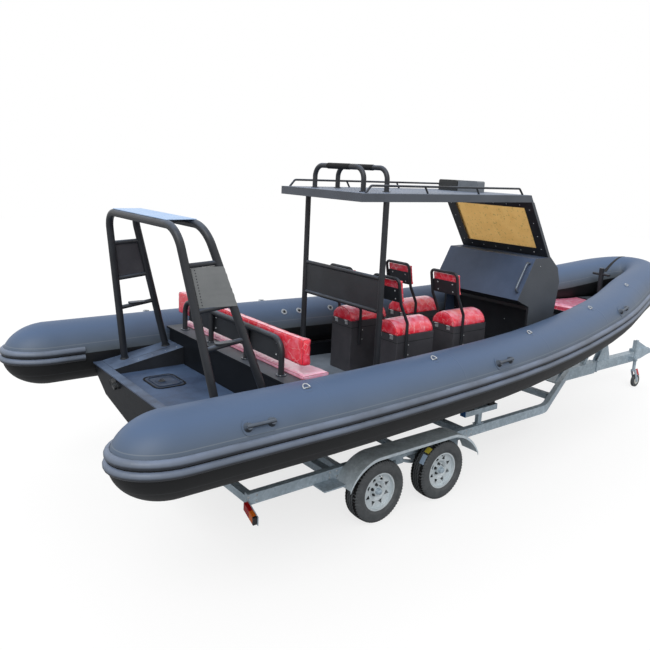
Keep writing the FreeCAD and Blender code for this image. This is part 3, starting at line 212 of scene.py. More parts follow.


# Materials

# Paint, powder coat, moulded plastic and rubber: a colour that drifts over patches, dust with a painted
# bluish sky reflection on upward faces, painted shade on downward faces where a look asks for it, a fine
# grain in the gloss, and corners that a bevel softens
def coating(name, look):
    material, tree, shader = plainMaterial(name, {
        "Roughness": look["roughness"], "Metallic": look.get("metallic", 0.0), "IOR": look.get("ior", 1.5),
        "Coat Weight": look.get("coat", 0.0), "Coat Roughness": 0.1,
        "Specular IOR Level": look.get("specular", 0.5)})
    place = objectPlace(tree)
    patches = noise(tree, place, 1000 / look["patchMm"], 6.0, 0.62)
    drift = ranged(tree, patches, 0.35, 0.68)
    colour = blend(tree, drift, look["colour"], look["drift"])
    soft = softEdge(tree, look.get("edgeMm", 3.0) / 1000)
    # painted sky reflection, partly dust: upward faces blend towards a pale bluish colour
    if look.get("dustAndSkySheen"):
        dustAndSheenShare = ranged(tree, upward(tree), 0.3, 1.0, look["dustAndSkySheen"])
        colour = blend(tree, maths(tree, "MULTIPLY", dustAndSheenShare, drift), colour, look["dustAndSkyColour"])
    # painted shade: downward faces darken towards a near-black colour
    if look.get("under"):
        colour = blend(tree, ranged(tree, upward(tree), 0.12, -0.3, 0.85), colour, look["under"])
    # worn edges: where the softened normal leaves the face's own
    own = addNode(tree, "ShaderNodeNewGeometry").outputs["Normal"]
    turn = addNode(tree, "ShaderNodeVectorMath", {"operation": "DOT_PRODUCT"}, {0: soft, 1: own})
    worn = ranged(tree, turn.outputs["Value"], 0.995, 0.9, look.get("wear", 0.35))
    colour = blend(tree, maths(tree, "MULTIPLY", worn, drift), colour, look["edge"])
    gloss = ranged(tree, patches, 0.0, 1.0, look["roughness"] + 0.1, look["roughness"] - 0.06)
    grain = noise(tree, place, 1000 / look["grainMm"], 3.0)
    relief = bumped(tree, grain, look.get("bump", 0.25), look["grainMm"] / 3000, soft)
    wire(tree, shader, {"Base Color": colour, "Roughness": gloss, "Normal": relief})
    return material


# Powder coat on tube and sheet: baked polyester, satin, with a faint orange peel
powderCoat = coating("powderCoat", {
    "colour": "#232529", "drift": "#2d3035", "edge": "#5a5f67", "roughness": 0.4, "patchMm": 260,
    "grainMm": 5, "bump": 0.2, "dustAndSkySheen": 0.8, "dustAndSkyColour": "#66748a", "specular": 0.4})
# The seat boxes are the same coat on laser-cut sheet, a little paler and scuffed by feet
boxCoat = coating("boxCoat", {
    "colour": "#3b3b40", "drift": "#47474c", "edge": "#666a71", "roughness": 0.5, "patchMm": 200,
    "grainMm": 5, "bump": 0.2, "dustAndSkySheen": 0.4, "dustAndSkyColour": "#555a63", "specular": 0.45})
# Black gelcoat on the hull bottom: moulded against a polished tool, glossier, with salt marks
hullGelcoat = coating("hullGelcoat", {
    "colour": "#121519", "drift": "#1b1e23", "edge": "#41464d", "roughness": 0.42, "patchMm": 420,
    "grainMm": 9, "bump": 0.12, "dustAndSkySheen": 0.2, "dustAndSkyColour": "#4a4f58", "specular": 0.12})
# Two-pack paint on the console's front and top: rolled, satin slate grey, with the sky's blue reflection
# painted into it
skyLitSlatePaint = coating("skyLitSlatePaint", {
    "colour": "#3f4e66", "drift": "#4b5b77", "edge": "#7c8593", "roughness": 0.44, "patchMm": 700,
    "grainMm": 7, "bump": 0.16, "dustAndSkySheen": 0.35, "dustAndSkyColour": "#66768e", "specular": 0.4})
# The roof's folded edge is the same paint, painted greyer: a shaded copy without the sky's blue
shadedRoofEdge = coating("shadedRoofEdge", {
    "colour": "#474c54", "drift": "#535962", "edge": "#80868e", "roughness": 0.46, "patchMm": 600,
    "grainMm": 7, "bump": 0.16, "dustAndSkySheen": 0.3, "dustAndSkyColour": "#66768e", "specular": 0.4})
# Well and stern boxes: the same paint, on their flat faces painted a little bluer and paler as lit by the
# sky; their walls take the dark powder coat as painted shade
skyLitWellPaint = coating("skyLitWellPaint", {
    "colour": "#374762", "drift": "#425472", "edge": "#7d8ba1", "roughness": 0.46, "patchMm": 380,
    "grainMm": 6, "bump": 0.2, "dustAndSkySheen": 0.5, "dustAndSkyColour": "#5d7699", "specular": 0.35})
# The transom's folded lip: the same paint, painted paler still, a painted highlight where it stands in full
# light
litLipPaint = coating("litLipPaint", {
    "colour": "#3f4c62", "drift": "#4d5d76", "edge": "#93a0b3", "roughness": 0.42, "patchMm": 200,
    "grainMm": 6, "bump": 0.2, "dustAndSkySheen": 0.5, "dustAndSkyColour": "#7286a4", "specular": 0.45})
# The arch's top sheet is the palest: pale sky grey, with the sky's light on the upward sheet painted into it
skyLitArchPaint = coating("skyLitArchPaint", {
    "colour": "#a4c2ea", "drift": "#b2cff5", "edge": "#cddcf0", "roughness": 0.5, "patchMm": 260,
    "grainMm": 6, "bump": 0.16, "dustAndSkySheen": 0.4, "dustAndSkyColour": "#bacde6"})
# Non-slip deck paint: sand in the coat, so it is matt and coarse
deckPaint = coating("deckPaint", {
    "colour": "#5b6673", "drift": "#697583", "edge": "#8a929e", "roughness": 0.78, "patchMm": 300,
    "grainMm": 4, "bump": 0.7, "dustAndSkySheen": 0.3, "dustAndSkyColour": "#8c95a1"})
# Sheet aluminium panels of the arch: painted a lighter neutral grey
sheetPaint = coating("sheetPaint", {
    "colour": "#6c6f70", "drift": "#77797a", "edge": "#a4a8aa", "roughness": 0.5, "patchMm": 240,
    "grainMm": 5, "bump": 0.2, "dustAndSkySheen": 0.4, "dustAndSkyColour": "#8492a4"})
# Moulded ABS hatch lid: dark slate, fine texture
hatchPlastic = coating("hatchPlastic", {
    "colour": "#28354a", "drift": "#35445b", "edge": "#8c9ab0", "roughness": 0.36, "patchMm": 120,
    "grainMm": 3, "bump": 0.2, "dustAndSkySheen": 0.15, "dustAndSkyColour": "#54647f", "ior": 1.53, "specular": 0.4})
# EPDM seals and pads: black, matt
sealRubber = coating("sealRubber", {
    "colour": "#101113", "drift": "#191a1c", "edge": "#2c2e31", "roughness": 0.6, "patchMm": 60,
    "grainMm": 2, "bump": 0.3, "dustAndSkySheen": 0.2, "dustAndSkyColour": "#3a3c40", "ior": 1.52, "specular": 0.25})
# Moulded strake rubber: satin with the mould's drag lines, dulled by sun, with painted shade under it and a
# painted bluish sky reflection on top
strakeRubber = coating("strakeRubber", {
    "colour": "#5a6371", "drift": "#677181", "edge": "#808b9e", "roughness": 0.42, "patchMm": 500,
    "grainMm": 4, "bump": 0.15, "dustAndSkySheen": 0.6, "dustAndSkyColour": "#7f8fad", "ior": 1.52, "under": "#17181b"})
# Handles and patches: the same rubber, a shade darker, with painted shade under them
handleRubber = coating("handleRubber", {
    "colour": "#414a56", "drift": "#4a5563", "edge": "#67727f", "roughness": 0.48, "patchMm": 160,
    "grainMm": 3, "bump": 0.25, "dustAndSkySheen": 0.35, "dustAndSkyColour": "#7c8798", "ior": 1.52, "under": "#17181b"})
# Silver wheel enamel: sprayed, slightly metallic
wheelEnamel = coating("wheelEnamel", {
    "colour": "#d6dee2", "drift": "#c6d0d5", "edge": "#eef1f2", "roughness": 0.34, "patchMm": 90,
    "grainMm": 2, "bump": 0.1, "metallic": 0.15, "edgeMm": 2.0})
# Zinc-plated bolts and hinges: bright, a little worn
brightZinc = coating("brightZinc", {
    "colour": "#cdd1d4", "drift": "#b4b9bd", "edge": "#e2e5e6", "roughness": 0.3, "patchMm": 12,
    "grainMm": 1, "bump": 0.1, "metallic": 0.5, "edgeMm": 0.8})
# Lamp housings and caps: glossy black ABS
blackAbs = coating("blackAbs", {
    "colour": "#1c1e20", "drift": "#26292b", "edge": "#4a4e52", "roughness": 0.3, "patchMm": 90,
    "grainMm": 3, "bump": 0.15, "dustAndSkySheen": 0.3, "dustAndSkyColour": "#5d666f", "ior": 1.53})
# The starboard lamp box on the roof is a paler moulding
greyAbs = coating("greyAbs", {
    "colour": "#62686f", "drift": "#6f757c", "edge": "#8b9198", "roughness": 0.36, "patchMm": 90,
    "grainMm": 3, "bump": 0.15, "dustAndSkySheen": 0.3, "dustAndSkyColour": "#8f9aa6", "ior": 1.53})
# Moulded polypropylene caps on the bunks, blue
blueCap = coating("blueCap", {
    "colour": "#1d4f86", "drift": "#255c96", "edge": "#4479ab", "roughness": 0.42, "patchMm": 40,
    "grainMm": 3, "bump": 0.15, "ior": 1.53})
# Moulded nylon hub of the jockey wheel, off-white
whiteHub = coating("whiteHub", {
    "colour": "#d8d9d4", "drift": "#c5c6c0", "edge": "#e6e6e2", "roughness": 0.42, "patchMm": 30,
    "grainMm": 2, "bump": 0.15, "ior": 1.49})
# Red enamelled steel of the jockey wheel's brake plate
redPlate = coating("redPlate", {
    "colour": "#c8323c", "drift": "#d8444c", "edge": "#e07a7c", "roughness": 0.44, "patchMm": 30,
    "grainMm": 2, "bump": 0.2})
# Screwed rings of the inflation valves: glass-filled nylon, pale grey
paleAbs = coating("paleAbs", {
    "colour": "#a9b1b9", "drift": "#98a1aa", "edge": "#c5ccd2", "roughness": 0.38, "patchMm": 40,
    "grainMm": 2, "bump": 0.15, "ior": 1.53})
# Piping round the covers: vinyl over a cord, glossier than the panels
redWelt = coating("redWelt", {
    "colour": "#a81c2e", "drift": "#bb2f42", "edge": "#d2596a", "roughness": 0.4, "patchMm": 60,
    "grainMm": 2, "bump": 0.2, "coat": 0.6})
pinkWelt = coating("pinkWelt", {
    "colour": "#bd6573", "drift": "#cf8491", "edge": "#dfa6b0", "roughness": 0.42, "patchMm": 60,
    "grainMm": 2, "bump": 0.2, "coat": 0.6})
# Bent stainless tube of the dash handrail: brushed, reflects the sky
satinSteel = coating("satinSteel", {
    "colour": "#5d656f", "drift": "#6c747f", "edge": "#a9b0b8", "roughness": 0.34, "patchMm": 60,
    "grainMm": 2, "bump": 0.08, "metallic": 0.7, "edgeMm": 1.0})
# Woven polyester strap: black, matt and coarse
webbing = coating("webbing", {
    "colour": "#151618", "drift": "#202225", "edge": "#34373b", "roughness": 0.7, "patchMm": 30,
    "grainMm": 2, "bump": 0.6})
# Printed paper labels, dusty and faded
yellowLabel = coating("yellowLabel", {
    "colour": "#c9b93c", "drift": "#b5a63a", "edge": "#d9cf7a", "roughness": 0.55, "patchMm": 14,
    "grainMm": 2, "bump": 0.2})
blueLabel = coating("blueLabel", {
    "colour": "#a9bdd2", "drift": "#93a9c1", "edge": "#c9d6e4", "roughness": 0.5, "patchMm": 14,
    "grainMm": 2, "bump": 0.2})
# Console dash and side are the same paint; this copy is painted darker and greyer, as painted shade
shadedSlatePaint = coating("shadedSlatePaint", {
    "colour": "#3c4148", "drift": "#484d54", "edge": "#70767e", "roughness": 0.48, "patchMm": 500,
    "grainMm": 7, "bump": 0.16, "dustAndSkySheen": 0.3, "dustAndSkyColour": "#6f7b8d"})
# The roof's top is the same paint, painted paler and bluer as lit by the sky
skyLitRoofTop = coating("skyLitRoofTop", {
    "colour": "#5b687c", "drift": "#6a7890", "edge": "#8b97a8", "roughness": 0.46, "patchMm": 420,
    "grainMm": 7, "bump": 0.16, "dustAndSkySheen": 0.35, "dustAndSkyColour": "#8592a5"})

# The collar's centre line: half breadth and height of the waist along the boat
collarLine = {"halfWidth": 1.373, "waist": 1.361, "straightEnd": 1.530, "planTip": 8.705, "power": 1.628,
              "sheerStart": 3.678, "sheerEnd": 8.700, "sheerRise": 0.447, "noseBend": 0.300}

# Collar cloth: polyester coated with PVC and calendered, so satin with a fine cloth print.
# The lower half is black and the upper half slate grey, and the crown is painted pale bluish: dust with a
# painted sky reflection.
collarLook = {"upper": "#51595f", "upperDrift": "#5d656c", "lower": "#0f1012", "lowerDrift": "#17181a",
              "dustAndSkySheen": "#4d6486", "split": 1.389, "seamAbove": 1.4785, "seamBelow": 1.208, "threadMm": 3.0,
              "patchMm": 650}


def collarCloth():
    look = collarLook
    line = collarLine
    material, tree, shader = plainMaterial("collarCloth", {"IOR": 1.52, "Roughness": 0.46,
                                                          "Specular IOR Level": 0.35})
    place = objectPlace(tree)
    axes = addNode(tree, "ShaderNodeSeparateXYZ", links={"Vector": place})
    # heights count from the sheer, which is a parabola towards the bow
    ahead = maths(tree, "ADD", axes.outputs["X"], midStation - line["sheerStart"])
    steep = line["sheerRise"] / (line["sheerEnd"] - line["sheerStart"]) ** 2
    rise = maths(tree, "MULTIPLY", maths(tree, "POWER", maths(tree, "MAXIMUM", ahead, 0.0), 2.0), steep)
    height = maths(tree, "SUBTRACT", axes.outputs["Z"], rise)
    patches = noise(tree, place, 1000 / look["patchMm"], 7.0, 0.6)
    drift = ranged(tree, patches, 0.35, 0.68)
    black = blend(tree, drift, look["lower"], look["lowerDrift"])
    slate = blend(tree, drift, look["upper"], look["upperDrift"])
    both = blend(tree, ranged(tree, height, look["split"] - 0.0005, look["split"] + 0.0005), black, slate)
    # dust and a painted bluish sky reflection on the crown
    colour = blend(tree, ranged(tree, upward(tree), 0.1, 0.85, 0.88), both, look["dustAndSkySheen"])
    # welded seams of the lower panels, one above the strakes and one on the black underside, drawn as pale
    # lines: a painted highlight along each seam's ridge
    for seamHeight, seamHighlight in ((look["seamAbove"], "#7d858c"), (look["seamBelow"], "#47494c")):
        seam = maths(tree, "COMPARE", height, seamHeight, 0.003)
        colour = blend(tree, maths(tree, "MULTIPLY", seam, 0.4), colour, seamHighlight)
    # the cloth's threads, drawn at 3 mm because the real 1 mm ones are too fine to show
    threads = noise(tree, place, 1000 / look["threadMm"], 2.0)
    broad = bumped(tree, noise(tree, place, 5.0, 2.0), 0.25, 0.006)
    wire(tree, shader, {"Base Color": colour, "Roughness": ranged(tree, patches, 0.0, 1.0, 0.56, 0.42),
                        "Normal": bumped(tree, threads, 0.18, 0.0008, broad)})
    return material


# Hot-dip galvanised steel: zinc crystals 15 to 30 mm across, each dulled a little differently.
# On the mudguards the tops are walked on and stained.
def galvanised(name, look):
    material, tree, shader = plainMaterial(name, {"Metallic": look["metallic"], "Roughness": 0.45})
    place = objectPlace(tree)
    spangle = addNode(tree, "ShaderNodeTexVoronoi", {"Scale": 1000 / look["spangleMm"]},
                      {"Vector": bentPlace(tree, place, 60.0, 0.012)})
    cells = addNode(tree, "ShaderNodeSeparateXYZ", links={"Vector": spangle.outputs["Color"]})
    patches = noise(tree, place, 1000 / look["patchMm"], 8.0, 0.65)
    colour = blend(tree, cells.outputs["X"], look["pale"], look["dull"])
    colour = blend(tree, ranged(tree, patches, 0.42, 0.7, look["drift"]), colour, look["stain"])
    if look.get("topStain"):
        up = ranged(tree, upward(tree), 0.2, 0.8)
        blots = ranged(tree, noise(tree, place, 14.0, 8.0, 0.72), 0.3, 0.62, look["topStain"])
        colour = blend(tree, maths(tree, "MULTIPLY", up, blots), colour, "#6f7876")
    gloss = ranged(tree, cells.outputs["Y"], 0.0, 1.0, 0.58, 0.36)
    relief = bumped(tree, patches, 0.2, 0.001, softEdge(tree, 0.003))
    wire(tree, shader, {"Base Color": colour, "Roughness": gloss, "Normal": relief})
    return material


hotDipZinc = galvanised("hotDipZinc", {
    "pale": "#bccbd6", "dull": "#a3b4c0", "stain": "#8b9ba6", "spangleMm": 22, "patchMm": 140, "drift": 0.6,
    "metallic": 0.15})
# the mudguards take a paler copy of the zinc: painted light under the collar's shade
litGuardZinc = galvanised("litGuardZinc", {
    "pale": "#d8e3e9", "dull": "#c2ced6", "stain": "#abb8c0", "spangleMm": 24, "patchMm": 120, "drift": 0.6,
    "topStain": 0.4, "metallic": 0.0})


# Marine vinyl under a delivery film: sewn vinyl is satin, and the loose clear film over it
# gives hard crinkled highlights and milky streaks where it lifts.
def wrappedVinyl(name, look):
    material, tree, shader = plainMaterial(name, {
        "Roughness": 0.42, "IOR": 1.5, "Coat Weight": 0.9, "Coat Roughness": 0.12, "Coat IOR": 1.5})
    place = objectPlace(tree)
    pulled = addNode(tree, "ShaderNodeMapping", {"Scale": look["pull"]},
                     {"Vector": bentPlace(tree, place, 6.0, 0.12)}).outputs[0]
    folds = noise(tree, pulled, 1000 / look["foldMm"], 5.0, 0.55, noise_type="RIDGED_MULTIFRACTAL")
    # the film's creases: a broken net of straight pale lines, painted highlights where the crinkled film
    # catches light
    net = addNode(tree, "ShaderNodeTexVoronoi",
                  {"feature": "DISTANCE_TO_EDGE", "Scale": 1000 / look["creaseMm"]}, {"Vector": pulled})
    broken = noise(tree, place, 16.0, 3.0)
    creaseGlints = maths(tree, "MULTIPLY", ranged(tree, net.outputs["Distance"], 0.045, 0.01),
                   ranged(tree, broken, 0.42, 0.56))
    # the film turns milky where it lifts, and its top faces are painted paler, a painted sheen
    milky = ranged(tree, noise(tree, place, 13.0, 6.0, 0.62), 0.45, 0.7, look["milk"])
    topSheenShare = maths(tree, "MULTIPLY", ranged(tree, upward(tree), 0.45, 0.95, look["paintedTopSheen"]),
                ranged(tree, broken, 0.35, 0.6, 1.0, 0.35))
    colour = blend(tree, maths(tree, "MAXIMUM", milky, topSheenShare), look["colour"], look["filmAndSheen"])
    colour = blend(tree, maths(tree, "MULTIPLY", creaseGlints, look["creaseHighlight"]), colour, "#f3e6e8")
    grain = addNode(tree, "ShaderNodeTexVoronoi", {"Scale": 420.0}, {"Vector": place}).outputs["Distance"]
    wire(tree, shader, {"Base Color": colour, "Coat Normal": bumped(tree, folds, 0.55, 0.004),
                        "Normal": bumped(tree, grain, 0.2, 0.0006)})
    return material


redVinyl = wrappedVinyl("redVinyl", {
    "colour": "#f01f38", "filmAndSheen": "#fda6be", "milk": 0.4, "paintedTopSheen": 1.0, "foldMm": 110,
    "pull": (1.0, 0.6, 0.8), "creaseMm": 75, "creaseHighlight": 0.3})
pinkVinyl = wrappedVinyl("pinkVinyl", {
    "colour": "#f0a4c0", "filmAndSheen": "#f8cfe2", "milk": 0.9, "paintedTopSheen": 0.9, "foldMm": 130,
    "pull": (1.0, 0.4, 1.0), "creaseMm": 110, "creaseHighlight": 0.4})
# The bow cushion has red sides, and its top is painted rose, a painted sheen of the film
roseVinyl = wrappedVinyl("roseVinyl", {
    "colour": "#e2405c", "filmAndSheen": "#f3a2c2", "milk": 0.4, "paintedTopSheen": 1.0, "foldMm": 130,
    "pull": (1.0, 0.4, 1.0), "creaseMm": 110, "creaseHighlight": 0.4})


# Acrylic pane under masking paper: matt kraft paper that lets light through, with faint stains
def maskingPaper():
    material, tree, shader = plainMaterial("maskingPaper", {"Roughness": 0.6, "IOR": 1.15,
                                                           "Transmission Weight": 0.9})
    place = objectPlace(tree)
    kraft = blend(tree, ranged(tree, noise(tree, place, 9.0, 5.0, 0.6), 0.35, 0.7), "#ecc47f", "#dfb56f")
    spots = ranged(tree, noise(tree, place, 34.0, 3.0), 0.6, 0.66, 0.6)
    fibres = noise(tree, place, 3.0, 8.0, 0.7)
    wire(tree, shader, {"Base Color": blend(tree, spots, kraft, "#7f8350"),
                        "Normal": bumped(tree, fibres, 0.3, 0.003)})
    return material


# Tyre rubber: vulcanised, matt black-grey, with mould sheen on the walls and road dust
tyreRubber = coating("tyreRubber", {
    "colour": "#44474a", "drift": "#535658", "edge": "#76787a", "roughness": 0.62, "patchMm": 70,
    "grainMm": 3, "bump": 0.35, "dustAndSkySheen": 0.5, "dustAndSkyColour": "#5b5b5a", "ior": 1.52, "edgeMm": 1.5,
    "wear": 0.7})
# The grooves are painted near black: painted shade in the tread's recesses
shadedGrooveRubber = coating("shadedGrooveRubber", {
    "colour": "#141516", "drift": "#1c1d1e", "edge": "#2a2b2c", "roughness": 0.75, "patchMm": 70,
    "grainMm": 3, "bump": 0.2, "specular": 0.2})
# Cast iron of the brake drums and blackened nuts: rough, a little metallic
hubIron = coating("hubIron", {
    "colour": "#26282a", "drift": "#343638", "edge": "#6a6d70", "roughness": 0.45, "patchMm": 30,
    "grainMm": 2, "bump": 0.3, "metallic": 0.6, "edgeMm": 1.0})


# Lamp lens: moulded acrylic, ribbed inside, red with an amber end and a clear one
def lampLens():
    material, tree, shader = plainMaterial("lampLens", {"Roughness": 0.18, "IOR": 1.49, "Coat Weight": 0.5,
                                                        "Coat Roughness": 0.05})
    place = objectPlace(tree)
    axes = addNode(tree, "ShaderNodeSeparateXYZ", links={"Vector": place})
    share = ranged(tree, maths(tree, "ABSOLUTE", axes.outputs["Y"]), 0.852, 1.005)
    bands = addNode(tree, "ShaderNodeValToRGB", links={"Fac": share})
    ramp = bands.color_ramp
    ramp.interpolation = "CONSTANT"
    ramp.elements[0].color = hexColour("#9c1416")
    ramp.elements[1].position = 0.55
    ramp.elements[1].color = hexColour("#c9641e")
    ramp.elements.new(0.9).color = hexColour("#221f20")
    cells = addNode(tree, "ShaderNodeTexVoronoi", {"Scale": 90.0}, {"Vector": place})
    wire(tree, shader, {"Base Color": bands.outputs["Color"],
                        "Normal": bumped(tree, cells.outputs["Distance"], 0.4, 0.001)})
    return material


collar = collarCloth()
paper = maskingPaper()
lens = lampLens()
print("materials made")


# Dressing the CAD nodes
dress(collar, "buoyancy_tube")
dress(strakeRubber, "rub_strakes")
dress(handleRubber, "grab_handles")
dress(hullGelcoat, "hull", "bench_locker", "bow_locker")
dress(deckPaint, "deck_sole")
dress(skyLitWellPaint, "engine_well", "stern_boxes")
dress(sealRubber, "hatch_gasket", "hull_pads")
dress(hatchPlastic, "hatch_lid")
dress(powderCoat, "bench_back_frame", "bench_back_panel", "arch_frame", "roof_posts", "roof_hoops",
      "roof_rails", "lean_panel", "windscreen_frame", "seat_back_frames", "seat_back_boards", "mooring_bitt")
dress(boxCoat, "seat_bases")
dress(sheetPaint, "arch_panels")
dress(skyLitSlatePaint, "console")
dress(shadedRoofEdge, "roof")
dress(blackAbs, "roof_lamp_boxes")
dress(paper, "windscreen_pane")
dress(brightZinc, "seat_hinges")
dress(satinSteel, "console_handrail")
dress(hotDipZinc, "trailer_rails", "trailer_crossbeams", "bunk_channels", "suspension", "trailer_plates",
      "drawbar", "bow_post", "coupling_head", "jockey_stem", "jockey_fork")
dress(litGuardZinc, "mudguards")
dress(lens, "tail_lamps")
dress(tyreRubber, "tyre_1", "tyre_2", "tyre_3", "tyre_4", "jockey_wheel")
dress(wheelEnamel, "rim_1", "rim_2", "rim_3", "rim_4")
dress(redVinyl, "saddle_1", "saddle_2", "saddle_3", "saddle_4", "seat_back_pads", "bench_back_cushion")
dress(pinkVinyl, "bench_seat_cushion")
dress(roseVinyl, "bow_cushion")
print("CAD nodes dressed")


# Faces of one CAD node that wear another finish, chosen by where they are and how they face
def dressFaces(material, name, wanted):
    mesh = nodes[name].data
    mesh.materials.append(material)
    index = len(mesh.materials) - 1
    for face in mesh.polygons:
        if wanted(face.center, face.normal):
            face.material_index = index


# a later line takes faces from an earlier one
faceFinishes = (
    (shadedSlatePaint, "bench_locker", lambda at, n: n.z > 0.9 and at.z > 1.55),
    # painted shade: the walls of the well and of the stern boxes take the dark powder coat
    (powderCoat, "engine_well", lambda at, n: abs(n.z) < 0.6),
    (powderCoat, "stern_boxes", lambda at, n: abs(n.z) < 0.6),
    # painted sky light: the roof's upward faces take the paler copy
    (skyLitRoofTop, "roof", lambda at, n: n.z > 0.8),
    # painted shade: the console's sides take the darker copy of the paint
    (shadedSlatePaint, "console", lambda at, n: abs(n.y) > 0.8 and abs(at.y) > 0.63),
    (powderCoat, "console", lambda at, n: at.z < 1.80 and abs(n.y) <= 0.8 or n.z < -0.3),
    (greyAbs, "roof_lamp_boxes", lambda at, n: at.y < 0.10),
    # painted sky light on the arch's top sheet
    (skyLitArchPaint, "arch_panels", lambda at, n: at.z > 2.8),
    # painted shade: the port panel, turned away from the light, takes the darker box coat
    (boxCoat, "arch_panels", lambda at, n: at.y > 0 and at.z < 2.7),
    (shadedSlatePaint, "windscreen_frame", lambda at, n: abs(n.y) > 0.9),
    (hullGelcoat, "engine_well", lambda at, n: n.x < -0.6 and at.z < 1.27),
    (hullGelcoat, "stern_boxes", lambda at, n: n.x < -0.6),
    # painted light: the lip and the box tops take the paler copy
    (litLipPaint, "engine_well", lambda at, n: at.z > 1.27),
    (litLipPaint, "stern_boxes", lambda at, n: n.z > 0.9),
    # painted shade: the bow locker's top, under the roof, takes the shaded copy of the paint
    (shadedSlatePaint, "bow_locker", lambda at, n: n.z > 0.9))
for finish in faceFinishes:
    dressFaces(*finish)


# Tools for the padded pieces and the small fittings
forward = Vector((1, 0, 0))
portward = Vector((0, 1, 0))
downward = Vector((0, 0, -1))
surfaces = {}


def treeOf(mesh):
    return BVHTree.FromPolygons([v.co for v in mesh.vertices], [list(p.vertices) for p in mesh.polygons])


def surface(name):
    if name not in surfaces:
        surfaces[name] = treeOf(nodes[name].data)
    return surfaces[name]


# where a ray meets a CAD node, with the normal turned back along the ray
def landing(name, start, direction):
    ahead = Vector(direction).normalized()
    point, normal, _, _ = surface(name).ray_cast(Vector(start), ahead)
    if point is None:
        print("nothing met on", name, "from", tuple(round(v, 3) for v in start))
        return None
    return point, (normal if normal.dot(ahead) < 0 else -normal)


# a turned shape: rings of (radius, height) round each place's normal, all in one mesh
def turned(name, places, rings, sides, material, slot, body=root, smooth=True):
    parts = []
    for place in places:
        if place is None:
            continue
        point, normal = place
        turn = normal.to_track_quat("Z", "Y").to_matrix()
        rows = [[point + turn @ Vector((radius * x, radius * y, height)) for x, y in circle(sides)]
                for radius, height in rings]
        parts.append(sheet(rows, wrap=True, caps=True))
    return addPiece(name, *merged(parts), material, slot, body, smooth)


# domed bolt heads on washers
def bolts(name, places, headMm, material=brightZinc, slot="hinge_steel", body=root):
    r = headMm / 2000
    rings = [(1.7 * r, -0.2 * r), (1.7 * r, 0.2 * r), (1.05 * r, 0.24 * r), (r, 0.6 * r), (0.7 * r, 0.9 * r),
             (0.3 * r, 1.05 * r)]
    return turned(name, places, rings, 12, material, slot, body)


# a tube along a list of points, with its ends closed
def tubeAlong(points, radius, sides=8, closed=False):
    rows = []
    last = len(points) - 1
    side = None
    for i, point in enumerate(points):
        before = points[i - 1] if i or closed else points[0]
        after = points[(i + 1) % len(points)] if i < last or closed else points[-1]
        ahead = (after - before).normalized()
        if side is None:
            side = ahead.orthogonal().normalized()
        side = (side - ahead * side.dot(ahead)).normalized()
        up = ahead.cross(side)
        rows.append([point + side * (radius * x) + up * (radius * y) for x, y in circle(sides)])
    return sheet(rows, wrap=True, ring=closed, caps=not closed)


# a CAD node's separate solids, ordered from aft to fore and port to starboard
def solidsOf(name):
    whole = bmesh.new()
    whole.from_mesh(nodes[name].data)
    bmesh.ops.remove_doubles(whole, verts=whole.verts, dist=1e-6)
    left = set(whole.verts)
    groups = []
    while left:
        reached = {left.pop()}
        edge = list(reached)
        while edge:
            vert = edge.pop()
            for link in vert.link_edges:
                other = link.other_vert(vert)
                if other in left:
                    left.discard(other)
                    reached.add(other)
                    edge.append(other)
        groups.append(reached)
    solids = []
    for group in groups:
        index = {vert: i for i, vert in enumerate(group)}
        faces = {face for vert in group for face in vert.link_faces}
        mesh = bpy.data.meshes.new(name)
        mesh.from_pydata([tuple(v.co) for v in index], [], [[index[v] for v in f.verts] for f in faces])
        middle = sum((v.co for v in group), Vector()) / len(group)
        solids.append((round(middle.x, 1), -round(middle.y, 1), mesh))
    whole.free()
    solids.sort(key=lambda entry: entry[:2])
    return [entry[2] for entry in solids]


def coordinates(mesh):
    flat = np.empty(len(mesh.vertices) * 3)
    mesh.vertices.foreach_get("co", flat)
    return flat.reshape(-1, 3)


def applied(piece):
    graph = bpy.context.evaluated_depsgraph_get()
    mesh = bpy.data.meshes.new_from_object(piece.evaluated_get(graph))
    piece.modifiers.clear()
    piece.data = mesh
    return mesh


# What every cover's cloth shares. Each look adds its own pressure and shrinkage.
clothSettings = {"quality": 5, "tension_stiffness": 12, "compression_stiffness": 12, "shear_stiffness": 4,
                 "bending_stiffness": 0.05, "use_pressure": True, "vertex_group_mass": "held"}
clothFrames = 20


# the pad's mesh after the cloth has moved, without gravity
def simulated(pad, held, look):
    group = pad.vertex_groups.new(name="held")
    group.add([int(i) for i in np.nonzero(held)[0]], 1.0, "REPLACE")
    cloth = pad.modifiers.new("cloth", "CLOTH")
    for key, value in clothSettings.items():
        setattr(cloth.settings, key, value)
    cloth.settings.uniform_pressure_force = look["pressure"]
    cloth.settings.shrink_min = look["shrink"]
    cloth.settings.effector_weights.gravity = 0
    cloth.collision_settings.use_collision = False
    cloth.point_cache.frame_start = 1
    cloth.point_cache.frame_end = clothFrames
    for tick in range(1, clothFrames + 1):
        scene.frame_set(tick)
    mesh = applied(pad)
    scene.frame_set(1)
    return mesh


